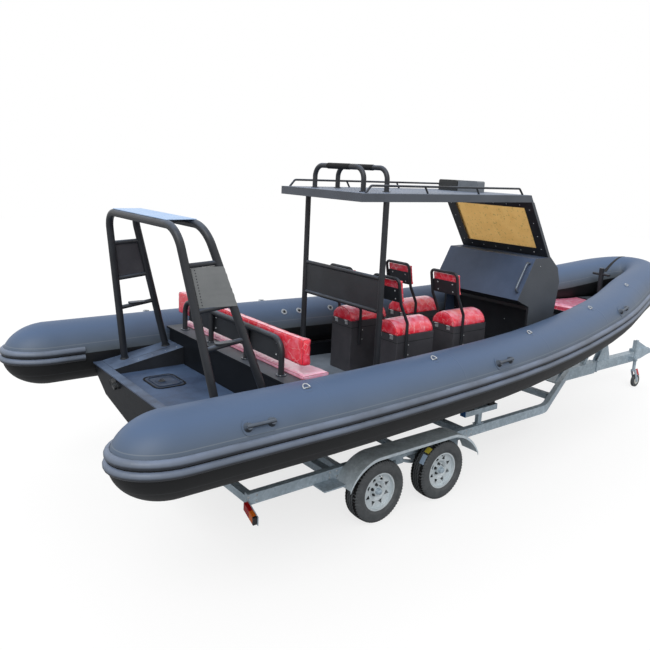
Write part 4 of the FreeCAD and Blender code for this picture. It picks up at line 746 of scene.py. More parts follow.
# A sewn cover: the CAD solid is remeshed, drawn in a little, let out by cloth pressure with
# its resting face held, and stopped before it leaves the space that the CAD gives it.
def puffed(solid, look):
    pad = bpy.data.objects.new("pad", solid)
    scene.collection.objects.link(pad)
    remesh = pad.modifiers.new("remesh", "REMESH")
    remesh.mode = "VOXEL"
    remesh.voxel_size = look["voxelMm"] / 1000
    smooth = pad.modifiers.new("smooth", "SMOOTH")
    smooth.iterations = 4
    mesh = applied(pad)
    cad = coordinates(mesh)
    normals = np.empty(len(mesh.vertices) * 3)
    mesh.vertex_normals.foreach_get("vector", normals)
    normals = normals.reshape(-1, 3)
    held = normals @ np.array(Vector(look["restsTowards"])) > 0.8
    start = np.where(held[:, None], cad, cad - normals * look["slackMm"] / 1000)
    mesh.vertices.foreach_set("co", start.ravel())
    mesh = simulated(pad, held, look)
    moved = coordinates(mesh) - start
    far = np.linalg.norm(moved, axis=1, keepdims=True)
    cap = look["capMm"] / 1000
    # a soft stop, so that the cap leaves no flat patch
    moved = moved / np.maximum(far, 1e-9) * cap * np.tanh(far / cap)
    mesh.vertices.foreach_set("co", (start + moved).ravel())
    finer = pad.modifiers.new("finer", "SUBSURF")
    finer.levels = 1
    mesh = applied(pad)
    bpy.data.objects.remove(pad)
    return mesh


def cover(name, mesh, material, body, replaced):
    piece = placed(name, mesh, material, body)
    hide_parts(replaced)


# A welt lies along the cover where the panels of vinyl are sewn together
def welt(mesh, route, radius):
    tree = treeOf(mesh)
    line = []
    for point in route:
        near, normal, _, _ = tree.find_nearest(Vector(point))
        line.append(near + normal * radius * 0.35)
    return tubeAlong(line, radius, 6)


def between(a, b, step):
    a = Vector(a)
    b = Vector(b)
    count = max(2, int((b - a).length / step))
    return [a.lerp(b, i / count) for i in range(count + 1)]


def edgesOf(corners, step):
    return [between(a, b, step) for a, b in zip(corners, corners[1:] + corners[:1])]


# Saddles: sewn half-round covers over foam, in their delivery film
saddleLook = {"voxelMm": 9, "slackMm": 5, "capMm": 8, "pressure": 5.0, "shrink": -0.025, "fill": 0.8,
              "restsTowards": (0, 0, -1), "weltMm": 2.6, "sideHeight": 0.035}


def saddleArc(x, spread):
    low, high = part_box("saddle_1")
    middle = (low.y + high.y) / 2
    half = (high.y - low.y) / 2
    rise = high.z - low.z - saddleLook["sideHeight"]
    radius = (half * half + rise * rise) / (2 * rise)
    centre = high.z - radius
    reach = math.asin(half / radius)
    points = [Vector((x, middle - half - spread, low.z + 0.01))]
    for i in range(25):
        angle = -reach + 2 * reach * i / 24
        points.append(Vector((x, middle + (radius + spread) * math.sin(angle),
                              centre + (radius + spread) * math.cos(angle))))
    points.append(Vector((x, middle + half + spread, low.z + 0.01)))
    route = []
    for a, b in zip(points, points[1:]):
        route += between(a, b, 0.012)[:-1]
    return route + [points[-1]]


def addSaddles():
    look = saddleLook
    low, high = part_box("saddle_1")
    mesh = puffed(solidsOf("saddle_1")[0], look)
    seams = merged([welt(mesh, saddleArc(low.x - 0.004, 0.004), look["weltMm"] / 1000),
                    welt(mesh, saddleArc(high.x + 0.004, 0.0), look["weltMm"] / 1000)])
    middle = Vector(((low.x + high.x) / 2, (low.y + high.y) / 2, 0))
    for number in range(1, 5):
        name = "saddle_%d" % number
        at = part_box(name)
        shift = Vector(((at[0].x + at[1].x) / 2, (at[0].y + at[1].y) / 2, 0))
        side = 1 if shift.y > 0 else -1
        place = Matrix.Translation(shift) @ Matrix.Diagonal((1, side, 1, 1)) @ Matrix.Translation(-middle)
        copy = mesh.copy()
        copy.transform(place)
        if side < 0:
            copy.flip_normals()
        body = "seat_lid_%d" % number
        cover("saddle_cover_%d" % number, copy, redVinyl, body, name)
        points = [place @ p for p in seams[0]]
        faces = seams[1] if side > 0 else [tuple(reversed(f)) for f in seams[1]]
        addPiece("saddle_seam_%d" % number, points, faces, redWelt, "red_vinyl", body)


# Back pads: boxed foam pads screwed to the boards
backPadLook = {"voxelMm": 8, "slackMm": 4, "capMm": 8, "pressure": 5.0, "shrink": -0.02, "fill": 0.8,
               "restsTowards": (-1, 0, 0)}


def addBackPads():
    look = backPadLook
    solids = solidsOf("seat_back_pads")
    places = [coordinates(solid).mean(axis=0) for solid in solids]
    mesh = puffed(solids[0], look)
    whole = bmesh.new()
    for place in places:
        copy = mesh.copy()
        copy.transform(Matrix.Translation(Vector(place - places[0])))
        whole.from_mesh(copy)
    joined = bpy.data.meshes.new("seat_back_pad_covers")
    whole.to_mesh(joined)
    whole.free()
    cover("seat_back_pad_covers", joined, redVinyl, root, "seat_back_pads")


# Bench and bow cushions: long boxed cushions, welted along their edges
cushionLooks = {
    "bench_back_cushion": {"voxelMm": 11, "slackMm": 7, "capMm": 14, "pressure": 5.0, "shrink": -0.02,
                           "fill": 0.8, "restsTowards": (-1, 0, 0), "vinyl": redVinyl, "welt": redWelt,
                           "slot": "red_vinyl"},
    "bench_seat_cushion": {"voxelMm": 10, "slackMm": 4, "capMm": 10, "pressure": 4.0, "shrink": -0.02,
                           "fill": 0.6, "restsTowards": (0, 0, -1), "vinyl": pinkVinyl, "welt": pinkWelt,
                           "slot": "pink_vinyl"},
    "bow_cushion": {"voxelMm": 11, "slackMm": 5, "capMm": 12, "pressure": 4.0, "shrink": -0.02,
                    "fill": 0.7, "restsTowards": (0, 0, -1), "vinyl": roseVinyl, "welt": pinkWelt,
                    "slot": "pink_vinyl", "foreHalf": 0.256}}
cushionWelt = 0.0024


def addCushions():
    for name, look in cushionLooks.items():
        mesh = puffed(solidsOf(name)[0], look)
        low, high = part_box(name)
        routes = []
        if "foreHalf" in look:
            # the bow cushion is narrower at its fore edge
            half = look["foreHalf"]
            for z in (low.z + 0.004, high.z):
                corners = [(low.x, low.y, z), (high.x, -half, z), (high.x, half, z), (low.x, high.y, z)]
                routes += edgesOf(corners, 0.02)
        else:
            routes += [between((x, low.y + 0.01, z), (x, high.y - 0.01, z), 0.02)
                       for x in (low.x, high.x) for z in (low.z, high.z)]
            for y in (low.y, high.y):
                corners = [(low.x, y, low.z), (high.x, y, low.z), (high.x, y, high.z), (low.x, y, high.z)]
                routes += edgesOf(corners, 0.01)
        points, faces = merged([welt(mesh, route, cushionWelt) for route in routes])
        cover(name + "_cover", mesh, look["vinyl"], root, name)
        addPiece(name + "_welts", points, faces, look["welt"], look["slot"])


# Road tyres: radial tread of five ribs with zigzag grooves, cut shoulders and ribbed walls. The
# wall goes from the bead to the shoulder, as half the width and the radius.
tyreLook = {"pitches": 60, "stepsPerPitch": 5, "zigzag": 0.0030, "treadHalf": 0.068, "cut": 0.0085,
            "grooves": (0.040, 0.013, -0.013, -0.040), "grooveHalf": 0.0035, "grooveDeep": 0.008,
            "crown": 0.3073, "drop": 0.0055,
            "wall": [(0.072, 0.1775), (0.0765, 0.190), (0.0815, 0.197), (0.086, 0.207), (0.0885, 0.2095),
                     (0.0885, 0.2130), (0.0905, 0.2150), (0.0922, 0.232), (0.0925, 0.246), (0.0918, 0.258),
                     (0.0895, 0.2605), (0.0895, 0.2640), (0.0898, 0.2660), (0.0875, 0.277), (0.0845, 0.286),
                     (0.0800, 0.2935), (0.0745, 0.2985)]}


def crownAt(across):
    return tyreLook["crown"] - tyreLook["drop"] * (across / tyreLook["treadHalf"]) ** 2


def tyreRing(step):
    look = tyreLook
    # two of the five steps in each pitch are cut through the shoulder
    cut = look["cut"] if step % look["stepsPerPitch"] < 2 else 0.0
    zig = look["zigzag"] * (1 if (step // 3) % 2 else -1)
    wall = [(across, radius - cut if radius > 0.280 else radius) for across, radius in look["wall"]]
    tread = [(look["treadHalf"], 0.0)]
    for groove in look["grooves"]:
        for offset, deep in ((1, 0), (0.7, 1), (-0.7, 1), (-1, 0)):
            tread.append((groove + zig + offset * look["grooveHalf"], deep * look["grooveDeep"]))
    tread.append((-look["treadHalf"], 0.0))
    ribs = [(across, crownAt(across) - (max(deep, cut) if abs(across) > 0.045 else deep))
            for across, deep in tread]
    return wall + ribs + [(-across, radius) for across, radius in reversed(wall)]


# faces down in the tread's grooves and in the cuts of its shoulders, which take the painted shade
def inGroove(away, normal):
    radius = math.hypot(away.x, away.z)
    inTread = radius < 0.3035 and abs(away.y) < 0.066
    inShoulder = 0.284 < radius < 0.2915 and abs(normal.y) > 0.9
    return inTread or inShoulder


def addTyres():
    steps = circle(tyreLook["pitches"] * tyreLook["stepsPerPitch"])
    rows = [[Vector((radius * x, across, radius * z)) for across, radius in tyreRing(i)]
            for i, (x, z) in enumerate(steps)]
    points, faces = sheet(rows, wrap=True, ring=True, flip=True)
    for number in range(1, 5):
        name = "tyre_%d" % number
        low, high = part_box(name)
        centre = (low + high) / 2
        piece = addPiece("tread_%d" % number, [centre + p for p in points], faces, tyreRubber, "tyre_rubber",
                         "wheel_%d" % number)
        # the grooves' faces wear the painted shade
        piece.data.materials.append(shadedGrooveRubber)
        for face in piece.data.polygons:
            if inGroove(face.center - centre, face.normal):
                face.material_index = 1
        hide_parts(name)
        sharpen(piece.data, 38)


# edges sharper than the angle stay sharp in a smooth mesh
def sharpen(mesh, degrees):
    work = bmesh.new()
    work.from_mesh(mesh)
    for edge in work.edges:
        if len(edge.link_faces) == 2 and edge.calc_face_angle(0) > math.radians(degrees):
            edge.smooth = False
    work.to_mesh(mesh)
    work.free()


# Hubs: a zinc dust cap with five black nuts round it, the brake drum behind, and a rubber valve.
# Each profile is a list of radius and height.
hubLook = {"nuts": 5, "nutCircle": 0.050, "valveUp": 0.155,
           "cap": [(0.03375, -0.004), (0.03375, 0.006), (0.027, 0.009), (0.027, 0.028), (0.02511, 0.034),
                   (0.0189, 0.0384), (0.0081, 0.040)],
           "drum": [(0.126, 0.004), (0.126, 0.050), (0.120, 0.056), (0.040, 0.056)],
           "nut": [(0.016875, -0.002), (0.016875, 0.003), (0.0125, 0.004), (0.0125, 0.017), (0.010, 0.019),
                   (0.004375, 0.0215)],
           "valve": [(0.006, -0.004), (0.0055, 0.012), (0.004, 0.014), (0.0038, 0.026), (0.003, 0.028)]}


# where a rim's face is met, this far ahead of its centre and above it
def onRim(number, centre, out, x, z):
    return landing("rim_%d" % number, centre + Vector((x, 0, z)) + out * 0.3, -out)


def addHubs():
    look = hubLook
    for number in range(1, 5):
        low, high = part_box("tyre_%d" % number)
        centre = (low + high) / 2
        out = Vector((0, 1 if centre.y > 0 else -1, 0))
        body = "wheel_%d" % number
        outer = Vector((centre.x, onRim(number, centre, out, 0.036, 0.0)[0].y, centre.z))
        inner = Vector((centre.x, onRim(number, centre, -out, 0.060, 0.060)[0].y, centre.z))
        nuts = []
        for i in range(look["nuts"]):
            angle = 2 * math.pi * (i + 0.25) / look["nuts"]
            nuts.append(onRim(number, centre, out, look["nutCircle"] * math.cos(angle),
                              look["nutCircle"] * math.sin(angle)))
        stem = onRim(number, centre, out, 0.0, look["valveUp"])
        turned("hub_cap_%d" % number, [(outer, out)], look["cap"], 28, hotDipZinc, "rim_steel", body)
        turned("brake_drum_%d" % number, [(inner, -out)], look["drum"], 36, hubIron, "rim_steel", body)
        turned("wheel_nuts_%d" % number, nuts, look["nut"], 6, hubIron, "rim_steel", body, False)
        turned("tyre_valve_%d" % number, [stem], look["valve"], 10, sealRubber, "tyre_rubber", body)


# Two blank paper labels left on the front starboard tyre's tread: where each starts and stops
# round the tyre, in degrees from its top, and across it
labelLook = {"wheel": "wheel_4", "tyre": "tyre_4", "proud": 0.0008,
             "labels": (("yellow", yellowLabel, 31.0, 43.0, -0.062, -0.004),
                        ("blue", blueLabel, 47.0, 66.0, -0.066, -0.012))}


def addLabels():
    look = labelLook
    low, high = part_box(look["tyre"])
    centre = (low + high) / 2
    for colour, material, start, stop, near, far in look["labels"]:
        rows = []
        for i in range(11):
            angle = math.radians(start + (stop - start) * i / 10)
            row = []
            for k in range(5):
                across = near + (far - near) * k / 4
                radius = crownAt(across) + look["proud"]
                row.append(centre + Vector((-radius * math.sin(angle), across, radius * math.cos(angle))))
            rows.append(row)
        addPiece("tyre_label_" + colour, *sheet(rows), material, "tyre_rubber", look["wheel"])


# Places on the collar. A place is a station and an angle up from the outboard waist, and the
# detail lands on the CAD collar along the tube's own radius.
def sheerAt(s):
    line = collarLine
    ahead = max(0.0, s - line["sheerStart"]) / (line["sheerEnd"] - line["sheerStart"])
    return line["waist"] + line["sheerRise"] * ahead ** 2


def halfWidthAt(s):
    line = collarLine
    share = max(0.0, s - line["straightEnd"]) / (line["planTip"] - line["straightEnd"])
    return line["halfWidth"] * max(0.0, 1 - share ** line["power"]) ** (1 / line["power"])


# centre, forward, outboard and upward directions of the tube at a station
def tubeFrame(s, side):
    centre = station(s, side * halfWidthAt(s), sheerAt(s))
    ahead = (station(s + 0.01, side * halfWidthAt(s + 0.01), sheerAt(s + 0.01)) - centre).normalized()
    out = Vector((ahead.y, -ahead.x, 0)).normalized()
    if out.y * side < 0:
        out = -out
    up = Vector((0, 0, 1))
    up = (up - ahead * up.dot(ahead)).normalized()
    return centre, ahead, out, up


def onTube(s, side, degrees):
    centre, ahead, out, up = tubeFrame(s, side)
    angle = math.radians(degrees)
    away = out * math.cos(angle) + up * math.sin(angle)
    point = surface("buoyancy_tube").ray_cast(centre + away * 0.1, away)[0]
    return point, away, ahead


# a round glued patch that follows the cloth, with a bevelled edge
def patch(place, radius, thick):
    point, away, ahead = place
    across = away.cross(ahead).normalized()
    tree = surface("buoyancy_tube")
    rows = []
    profile = ((0.0, thick), (0.35, thick), (0.7, thick), (0.93, thick), (1.0, thick * 0.55), (1.0, -0.001))
    for share, lift in profile:
        row = []
        for x, y in circle(24):
            flat = point + ahead * (radius * share * x) + across * (radius * share * y)
            hit = tree.ray_cast(flat + away * 0.08, -away)[0]
            row.append((hit or flat) + away * lift)
        rows.append(row)
    return sheet(rows, wrap=True, flip=True)


# The handles' glued patches are cut from the collar's own cloth, so faces near the tube wear it
patchLook = {"withinMm": 8}


def clothPatches():
    near = patchLook["withinMm"] / 1000
    tree = surface("buoyancy_tube")
    dressFaces(collar, "grab_handles", lambda at, n: tree.find_nearest(at, near)[0] is not None)


# D-rings: a steel ring under a rubber loop on a glued round patch
ringLook = {"stations": (1.463, 2.877, 4.458, 5.933, 7.238), "degrees": 74, "patch": 0.042, "thick": 0.0012,
            "ring": 0.031, "rod": 0.0046, "loopHalf": 0.014}


def addTubeRings():
    look = ringLook
    thick = look["thick"]
    lift = thick + look["rod"] + 0.001
    patches = []
    rings = []
    loops = []
    for side in (-1, 1):
        for s in look["stations"]:
            place = onTube(s, side, look["degrees"])
            point, away, ahead = place
            across = away.cross(ahead).normalized()
            bow = []
            for i in range(15):
                x = math.cos(math.pi * i / 14)
                y = math.sin(math.pi * i / 14)
                bow.append(point + ahead * (look["ring"] * x) + across * (look["ring"] * 1.25 * y)
                           + away * (lift + 0.010 * y))
            belt = [(0.009 * x, thick + 0.0085 * z) for x, z in circle(16)[:9]]
            rows = [[point + ahead * x + across * y + away * z for y, z in belt]
                    for x in (-look["loopHalf"], look["loopHalf"])]
            patches.append(patch(place, look["patch"], thick))
            rings.append(tubeAlong(bow, look["rod"], 8, True))
            loops.append(sheet(rows, caps=True))
    addPiece("ring_patches", *merged(patches), collar, "collar_fabric")
    addPiece("ring_rods", *merged(rings), brightZinc, "hinge_steel")
    addPiece("ring_loops", *merged(loops), handleRubber, "handle_rubber")


# Inflation valves: pale screwed rings with a cap, on the tube's inner side
valveLook = {"stations": (3.016, 3.221, 3.663), "degrees": 137, "radius": 0.033,
             "ring": ((1.12, -0.004), (1.12, 0.002), (1.0, 0.005), (0.72, 0.006), (0.62, 0.002)),
             "cap": ((0.5, -0.002), (0.5, 0.009), (0.42, 0.011), (0.2, 0.0115))}


def addValves():
    look = valveLook
    places = [onTube(s, 1, look["degrees"])[:2] for s in look["stations"]]
    ring = [(share * look["radius"], height) for share, height in look["ring"]]
    cap = [(share * look["radius"], height) for share, height in look["cap"]]
    turned("valve_rings", places, ring, 24, paleAbs, "hinge_steel")
    turned("valve_caps", places, cap, 16, blackAbs, "lamp_black")


# Doubled joints of the collar's cloth panels: tapes that go round the upper side of the tube
tapeLook = {"stations": (1.60, 3.10, 4.55, 6.00, 7.30), "from": 14, "to": 165, "half": 0.012,
            "thick": 0.0005}


def addTapes():
    look = tapeLook
    thick = look["thick"]
    parts = []
    for side in (-1, 1):
        for s in look["stations"]:
            rows = []
            for offset, lift in ((-1, -0.0005), (-0.8, thick), (0.8, thick), (1, -0.0005)):
                places = [onTube(s + offset * look["half"], side, degrees)
                          for degrees in range(look["from"], look["to"] + 1, 4)]
                rows.append([point + away * lift for point, away, _ in places])
            parts.append(sheet(rows, flip=side > 0))
    addPiece("collar_tapes", *merged(parts), collar, "collar_fabric")


# A black strap over the bow end of the collar
strapLook = {"across": 0.140, "from": 40, "to": 172, "half": 0.013, "thick": 0.0025}


def addBowStrap():
    look = strapLook
    line = collarLine
    bend = line["noseBend"]
    s = line["sheerEnd"] - bend + math.sqrt(bend ** 2 - look["across"] ** 2)
    centre = station(s, look["across"], sheerAt(s))
    tree = surface("buoyancy_tube")
    rows = []
    for offset, lift in ((-1, -0.001), (-1, look["thick"]), (1, look["thick"]), (1, -0.001)):
        row = []
        for degrees in range(look["from"], look["to"] + 1, 4):
            angle = math.radians(degrees)
            away = forward * math.cos(angle) - downward * math.sin(angle)
            hit = tree.ray_cast(centre - portward * offset * look["half"] + away * 0.1, away)[0]
            if hit is not None:
                row.append(hit + away * lift)
        rows.append(row)
    width = min(len(row) for row in rows)
    addPiece("bow_strap", *sheet([row[:width] for row in rows], flip=True), webbing, "handle_rubber")


# where the two seat rows begin
def seatRears():
    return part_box("saddle_1")[0].x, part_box("saddle_3")[0].x


# The joint between each seat box and its welded rim, a dark line round the box
jointLook = {"height": 1.535, "half": 0.0025, "proud": 0.0006, "corner": 0.012, "boxHalf": 0.170}
seatLine = 0.360


def addBoxJoints():
    look = jointLook
    corner = look["corner"]
    half = look["boxHalf"] + look["proud"]
    parts = []
    for first in ("saddle_1", "saddle_3"):
        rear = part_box(first)[0].x
        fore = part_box(first)[1].x
        for y in (-seatLine, seatLine):
            route = []
            for x, side, start in ((fore, -1, 270), (fore, 1, 0), (rear, 1, 90), (rear, -1, 180)):
                inward = -1 if x == fore else 1
                for step in range(5):
                    angle = math.radians(start + 22.5 * step)
                    route.append((x + inward * (corner - look["proud"]) + corner * math.cos(angle),
                                  y + side * (half - corner) + corner * math.sin(angle)))
            rows = [[Vector((x, across, look["height"] + up)) for x, across in route]
                    for up in (-look["half"], look["half"])]
            parts.append(sheet(rows, wrap=True))
    addPiece("seat_box_joints", *merged(parts), sealRubber, "gasket_rubber")


# Bolts and screws, each landing on the CAD face that it holds, with their heads' sizes in mm
headMm = {"board_bolts": 10, "bench_panel_bolts": 9, "lean_panel_bolts": 6, "seat_base_screws": 8,
          "leg_flange_screws": 6, "screen_bolts": 8, "console_screws": 7, "stern_box_screws": 6,
          "rail_bolts": 13, "post_bolts": 12}


# one head for each start and direction from which the node is met
def fasten(name, node, starts, *finish):
    bolts(name, [landing(node, start, direction) for start, direction in starts], headMm[name], *finish)


def addFasteners():
    seats = [(rear, y) for rear in seatRears() for y in (-seatLine, seatLine)]
    # four through bolts on each seat back board
    fasten("board_bolts", "seat_back_boards",
           [((rear - 0.4, y + dy, z), forward) for rear, y in seats for dy in (-0.105, 0.105)
            for z in (1.985, 2.068)])
    # the bench back panel is bolted beside its legs
    fasten("bench_panel_bolts", "bench_back_panel",
           [(station(1.50, y, z), forward) for y in (-0.755, -0.275, 0.275, 0.755) for z in (1.705, 1.805)])
    # the lean panel is screwed along its upper and lower tubes
    fasten("lean_panel_bolts", "lean_panel",
           [(station(2.60, -0.5 + 0.2 * i, z), forward) for i in range(6) for z in (1.932, 2.208)],
           powderCoat, "black_paint")
    # side screws on the seat bases, by the frame's foot
    fasten("seat_base_screws", "seat_bases",
           [((rear + 0.165, y + side * 0.3, z), (0, -side, 0)) for rear, y in seats for side in (-1, 1)
            for z in (1.395, 1.500)])
    # flange screws round the feet of the bench back's four legs
    corners = [(x * 0.036, y * 0.036) for x, y in circle(8)[1::2]]
    fasten("leg_flange_screws", "bench_back_frame",
           [(station(1.630 + dx, y + dy, 1.64), downward) for y in (-0.873, -0.322, 0.322, 0.873)
            for dx, dy in corners])
    # windscreen frame bolts round the opening, seen from aft
    low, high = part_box("windscreen_frame")
    spots = [(side * 0.585, low.z + (high.z - low.z) * share) for share in (0.14, 0.38, 0.62, 0.86)
             for side in (-1, 1)]
    spots += [(-0.47 + 0.188 * i, z) for i in range(6) for z in (low.z + 0.045, high.z - 0.040)]
    fasten("screen_bolts", "windscreen_frame", [(station(4.9, y, z), forward) for y, z in spots])
    # small screws on the console's faces and the stern box tops
    fasten("console_screws", "console",
           [(station(5.20, y, 1.50), forward) for y in (-0.60, -0.2, 0.2, 0.60)]
           + [(station(s, -1.0, z), portward) for s, z in ((5.35, 1.20), (5.70, 1.20), (5.40, 2.22))])
    fasten("stern_box_screws", "stern_boxes",
           [(station(s, side * 0.80, 1.7), downward) for side in (-1, 1) for s in (1.10, 1.24, 1.38, 1.50)])
    # frame bolts where the trailer's crossbeams and brackets meet the rails
    fasten("rail_bolts", "trailer_rails",
           [(station(s, side * 1.4, z), (0, -side, 0)) for s in (1.36, 1.44, 2.22, 2.30, 4.08, 4.16)
            for side in (-1, 1) for z in (0.490, 0.540)])
    # the clamp bolts and winch nuts on the bow post
    fasten("post_bolts", "bow_post", [(station(8.19, -0.6, z), portward) for z in (0.62, 0.72, 0.80, 0.90)])


# A thin sheet skins the outboard side of each arch panel and laps over the fore leg. A row of
# rivets holds it along its aft edge.
skinLook = {"thick": 0.002, "lap": 0.020, "rows": 14, "inset": 0.018, "rivetMm": 5}


# the outermost hit on the arch's fore leg, level with z
def legCrest(aft, side, z):
    best = None
    for k in range(26):
        hit = surface("arch_frame").ray_cast(Vector((aft + 0.13 + 0.008 * k, side * 1.3, z)),
                                             Vector((0, -side, 0)))[0]
        if hit is not None and (best is None or hit.y * side > best.y * side):
            best = hit
    return best


def addArchSkins():
    look = skinLook
    parts = []
    rivets = []
    for panel in solidsOf("arch_panels"):
        points = coordinates(panel)
        # the sheet across the arch's top has no skin
        if points[:, 2].min() > 2.7:
            continue
        side = 1 if points[:, 1].mean() > 0 else -1
        out = Vector((0, side, 0))
        z0 = points[:, 2].min() + 0.004
        z1 = points[:, 2].max() - 0.004
        lower = points[points[:, 2] < z0 + 0.03][:, 0].min()
        upper = points[points[:, 2] > z1 - 0.03][:, 0].min()
        foot = landing("arch_panels", (lower + 0.05, side * 1.3, z0 + 0.01), -out)[0]
        head = landing("arch_panels", (upper + 0.05, side * 1.3, z1 - 0.01), -out)[0]
        rows = []
        for i in range(look["rows"] + 1):
            z = z0 + (z1 - z0) * i / look["rows"]
            aft = lower + (upper - lower) * (z - z0) / (z1 - z0)
            best = legCrest(aft, side, z)
            if best is None:
                continue
            start = Vector((aft + 0.012, foot.y + (head.y - foot.y) * (z - foot.z) / (head.z - foot.z), z))
            start += out * 0.0004
            crest = best + out * 0.0012
            line = [start - forward * 0.010, start + forward * 0.02, crest, crest + forward * look["lap"]]
            rows.append([p + out * look["thick"] for p in line] + line[::-1])
            if 0 < i < look["rows"]:
                run = (crest - start).normalized()
                rivets.append((start + run * look["inset"] + out * look["thick"], out))
        parts.append(sheet(rows, wrap=True, caps=True, flip=side < 0))
    addPiece("arch_skins", *merged(parts), sheetPaint, "panel_paint", root, False)
    bolts("arch_rivets", rivets, look["rivetMm"], powderCoat, "black_paint")


# Dark slot along each stern box top, between the arch's feet
slotLook = {"from": 1.06, "to": 1.46, "across": 0.872, "half": 0.003, "proud": 0.0006}


def addBoxSlots():
    look = slotLook
    proud = Vector((0, 0, look["proud"]))
    parts = []
    for side in (-1, 1):
        rows = []
        for i in range(13):
            s = look["from"] + (look["to"] - look["from"]) * i / 12
            middle = side * look["across"]
            starts = [station(s, middle + half, 1.8) for half in (-look["half"], look["half"])]
            rows.append([landing("stern_boxes", start, downward)[0] + proud for start in starts])
        parts.append(sheet(rows))
    addPiece("box_slots", *merged(parts), sealRubber, "gasket_rubber")


# Hatch latch: a recessed black dish with a folding ring, off the lid's centre
latchLook = {"s": 1.135, "y": 0.345, "ring": 0.0186, "rod": 0.0028,
             "dish": [(0.033, -0.002), (0.033, 0.002), (0.030, 0.0035), (0.0258, 0.0035), (0.024, 0.001)]}


def addHatchLatch():
    look = latchLook
    place = landing("hatch_lid", station(look["s"], look["y"], 1.5), downward)
    turned("latch_dish", [place], look["dish"], 24, blackAbs, "hatch_plastic", "hatch_cover")
    ring = [place[0] + Vector((look["ring"] * x, look["ring"] * y, 0.006 + 0.005 * (1 + x)))
            for x, y in circle(20)]
    addPiece("latch_ring", *tubeAlong(ring, look["rod"], 8, True), blackAbs, "hatch_plastic", "hatch_cover")


# The lid is a moulded dish: a raised rim goes round it, inside the gasket
rimLook = {"inset": 0.022, "corner": 0.055, "rod": 0.0055, "proud": 0.001}


def addHatchRim():
    look = rimLook
    low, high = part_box("hatch_lid")
    middle = (low + high) / 2
    half = ((high.x - low.x) / 2 - look["inset"], (high.y - low.y) / 2 - look["inset"])
    corner = look["corner"]
    line = []
    for sx, sy, start in ((1, 1, 0), (-1, 1, 90), (-1, -1, 180), (1, -1, 270)):
        for step in range(7):
            angle = math.radians(start + 15 * step)
            line.append(Vector((middle.x + sx * (half[0] - corner) + corner * math.cos(angle),
                                middle.y + sy * (half[1] - corner) + corner * math.sin(angle),
                                high.z + look["proud"])))
    addPiece("hatch_rim", *tubeAlong(line, look["rod"], 8, True), hatchPlastic, "hatch_plastic",
             "hatch_cover")


# Drain fitting and its cap at the transom's port upper corner
drainLook = {"fittingAt": (0.60, 1.215), "capAt": (0.52, 1.21),
             "fitting": [(0.060, -0.002), (0.060, 0.008), (0.050, 0.012), (0.046, 0.034), (0.040, 0.040),
                         (0.036, 0.034), (0.024, 0.030)],
             "cap": [(0.036, -0.002), (0.036, 0.016), (0.030, 0.020), (0.030, 0.046), (0.024, 0.052),
                     (0.012, 0.052)]}


def addDrain():
    look = drainLook
    fitting = landing("engine_well", station(0.3, *look["fittingAt"]), forward)
    turned("drain_fitting", [fitting], look["fitting"], 24, blackAbs, "lamp_black")
    cap = landing("engine_well", station(0.3, *look["capAt"]), forward)
    turned("drain_cap", [cap], look["cap"], 6, blackAbs, "lamp_black", root, False)


# Grips on the roof's hoops: ribbed black sleeves pushed over the tube
gripLook = {"stations": (2.840, 3.140), "length": 0.34, "radius": 0.0285, "rib": 0.0016, "pitch": 0.012}


def addHoopGrips():
    look = gripLook
    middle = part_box("roof_hoops")[1].z - 0.025
    count = int(look["length"] / look["pitch"] * 2)
    for number, s in enumerate(look["stations"]):
        rows = []
        for i in range(count + 1):
            y = look["length"] * (i / count - 0.5)
            radius = look["radius"] + (look["rib"] if i % 2 else 0)
            rows.append([station(s + radius * x, y, middle + radius * z) for x, z in circle(20)])
        sleeve = sheet(rows, wrap=True, caps=True)
        addPiece("hoop_grip_%d" % (number + 1), *sleeve, sealRubber, "handle_rubber")


# Pressed bars on the tread step behind the mudguards
treadLook = {"pitch": 0.026, "long": 0.011, "wide": 0.0032, "high": 0.0016, "startsAt": (1.95, 0.86)}


def addTreadBars():
    look = treadLook
    lift = Vector((0, 0, look["high"]))
    parts = []
    for side, i, k in itertools.product((-1, 1), range(40), range(12)):
        s = look["startsAt"][0] + i * look["pitch"]
        y = side * (look["startsAt"][1] + k * look["pitch"] * 0.7)
        hit, normal, _, _ = surface("trailer_plates").ray_cast(station(s, y, 0.70), downward)
        if hit is None or normal.z < 0.8:
            continue
        turn = math.pi / 4 if (i + k) % 2 else -math.pi / 4
        along = Vector((math.cos(turn), math.sin(turn), 0)) * look["long"]
        across = Vector((-math.sin(turn), math.cos(turn), 0)) * look["wide"]
        edge = [along, along * 0.5 + across, -along * 0.5 + across, -along, -along * 0.5 - across,
                along * 0.5 - across]
        verts, faces = sheet([[hit + e for e in edge], [hit + e * 0.5 + lift for e in edge]], wrap=True)
        parts.append((verts, faces + [tuple(range(6, 12))]))
    addPiece("tread_bars", *merged(parts), hotDipZinc, "galvanised")


# Moulded end caps on the bunks
bunkLook = {"station": 4.322, "halfLength": 0.260, "across": 0.800, "height": 0.722, "half": (0.036, 0.031)}


def addBunkCaps():
    look = bunkLook
    wide, high = look["half"]
    parts = []
    for side in (-1, 1):
        for end in (-1, 1):
            s = look["station"] + end * look["halfLength"]
            centre = station(s, side * look["across"], look["height"])
            rows = [[centre + Vector((end * lift, dy * wide * grow, dz * high * grow))
                     for dy, dz in ((-1, -1), (1, -1), (1, 1), (-1, 1))]
                    for lift, grow in ((0.0, 1.0), (0.006, 1.0), (0.009, 0.9))]
            parts.append(sheet(rows, wrap=True, caps=True))
    addPiece("bunk_caps", *merged(parts), blueCap, "pad_rubber", root, False)


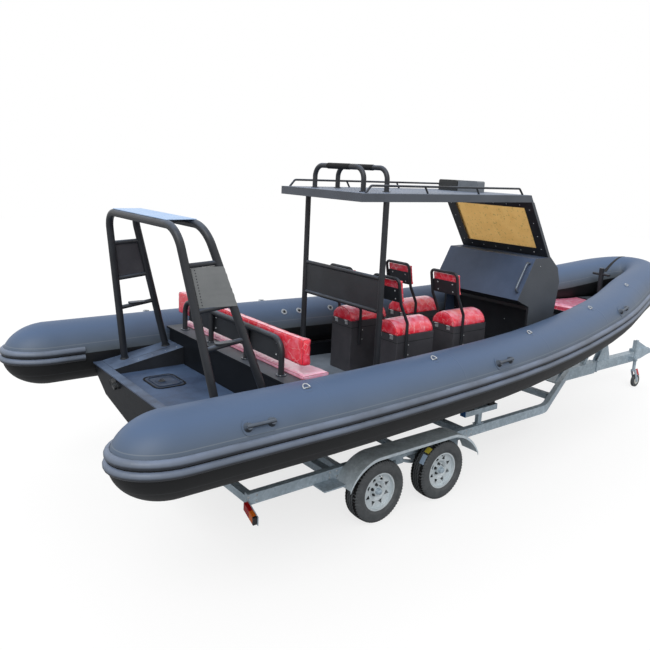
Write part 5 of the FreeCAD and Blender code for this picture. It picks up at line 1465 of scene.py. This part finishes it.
# Jockey wheel: a white moulded hub on each side of the tyre, and the red brake plate that stands
# between the fork's legs. Its outline is drawn ahead of the wheel's centre and above it.
jockeyLook = {"hub": [(0.058, -0.004), (0.058, 0.0012), (0.050, 0.0022), (0.044, 0.0012), (0.022, 0.0012),
                      (0.020, 0.0024), (0.012, 0.0024)],
              "plateHalf": 0.002, "plate": ((-0.070, 0.186), (-0.050, 0.120), (0.0, 0.107), (0.035, 0.102),
                                            (0.060, 0.089), (0.084, 0.064), (0.116, 0.064), (0.034, 0.190))}


def addJockeyDetails():
    look = jockeyLook
    low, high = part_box("jockey_wheel")
    centre = (low + high) / 2
    places = []
    for side in (-1, 1):
        out = Vector((0, side, 0))
        met = landing("jockey_wheel", centre + Vector((0.030, side * 0.2, 0)), -out)[0]
        places.append((Vector((centre.x, met.y, centre.z)), out))
    turned("jockey_hub", places, look["hub"], 28, whiteHub, "caster_rubber", "jockey_roller")
    rows = [[centre + Vector((x, y, z)) for x, z in look["plate"]]
            for y in (-look["plateHalf"], look["plateHalf"])]
    plate = sheet(rows, wrap=True, caps=True, flip=True)
    addPiece("jockey_stop", *plate, redPlate, "lamp_red", "jockey_swivel", False)


for build in (clothPatches, addSaddles, addBackPads, addCushions, addTyres, addHubs, addLabels,
              addTubeRings, addValves, addTapes, addBowStrap, addFasteners, addBoxSlots, addHatchLatch,
              addHatchRim, addDrain, addArchSkins, addHoopGrips, addTreadBars, addBunkCaps,
              addJockeyDetails, addBoxJoints):
    build()
    print("done:", build.__name__)


# Camera, light and floor
cameraPlace = {"position": (-6.20558, -5.26827, 3.27642), "right": (0.79399641, -0.60636564, 0.04347877),
               "up": (0.08230865, 0.17808822, 0.98056610), "forward": (0.60232465, 0.77498729, -0.19131055),
               "lens": 37.514, "shift": (0.00645, -0.04425)}


def addCamera():
    place = cameraPlace
    data = bpy.data.cameras.new("camera")
    data.sensor_width = 36.0
    data.lens = place["lens"]
    data.shift_x, data.shift_y = place["shift"]
    data.clip_end = 200.0
    camera = bpy.data.objects.new("camera", data)
    columns = [Vector(place["right"]), Vector(place["up"]), -Vector(place["forward"])]
    turn = Matrix(columns).transposed().to_4x4()
    camera.matrix_world = Matrix.Translation(place["position"]) @ turn
    scene.collection.objects.link(camera)
    scene.camera = camera


lightPlan = {"skyStrength": 0.8, "keyStrength": 1.45, "keySoftness": 40.0, "keyFrom": (-0.6, -0.5, 0.75),
             "floorSize": 60.0, "seenFloor": "#f8f8f8", "bounceFloor": "#aaabad", "seenGlow": 0.72,
             "glow": 1.05}


def addLight():
    plan = lightPlan
    world = bpy.data.worlds.new("studio")
    scene.world = world
    world.use_nodes = True
    tree = world.node_tree
    back = tree.nodes["Background"]
    back.inputs["Color"].default_value = (1, 1, 1, 1)
    rays = addNode(tree, "ShaderNodeLightPath")
    seen = maths(tree, "MAXIMUM", rays.outputs["Is Camera Ray"], rays.outputs["Is Glossy Ray"])
    seen = maths(tree, "MAXIMUM", seen, rays.outputs["Is Transmission Ray"])
    tree.links.new(ranged(tree, seen, 0.0, 1.0, 1.0, plan["skyStrength"]), back.inputs["Strength"])
    sun = bpy.data.lights.new("key", "SUN")
    sun.energy = plan["keyStrength"]
    sun.angle = math.radians(plan["keySoftness"])
    key = bpy.data.objects.new("key", sun)
    key.rotation_mode = "QUATERNION"
    key.rotation_quaternion = Vector(plan["keyFrom"]).to_track_quat("Z", "Y")
    scene.collection.objects.link(key)


def addFloor():
    plan = lightPlan
    half = plan["floorSize"] / 2
    mesh = bpy.data.meshes.new("floor")
    corners = [(-half, -half, 0), (half, -half, 0), (half, half, 0), (-half, half, 0)]
    mesh.from_pydata(corners, [], [(0, 1, 2, 3)])
    floor = bpy.data.objects.new("floor", mesh)
    scene.collection.objects.link(floor)
    material, tree, shader = plainMaterial("paleFloor", {"Roughness": 0.9, "Specular IOR Level": 0.0})
    out = tree.nodes["Material Output"]
    rays = addNode(tree, "ShaderNodeLightPath")
    # seen by the camera the floor is white with a faint shadow, and to the boat it is a grey yard
    seen = rays.outputs["Is Camera Ray"]
    wire(tree, shader, {"Base Color": blend(tree, seen, plan["bounceFloor"], plan["seenFloor"])})
    glow = addNode(tree, "ShaderNodeEmission", {"Color": (1, 1, 1, 1), "Strength": plan["glow"]})
    share = maths(tree, "MULTIPLY", seen, plan["seenGlow"])
    both = addNode(tree, "ShaderNodeMixShader", links={0: share, 1: shader.outputs[0], 2: glow.outputs[0]})
    tree.links.new(both.outputs[0], out.inputs["Surface"])
    mesh.materials.append(material)


addCamera()
addLight()
addFloor()
scene.view_settings.view_transform = "Standard"
print("camera, light and floor placed")
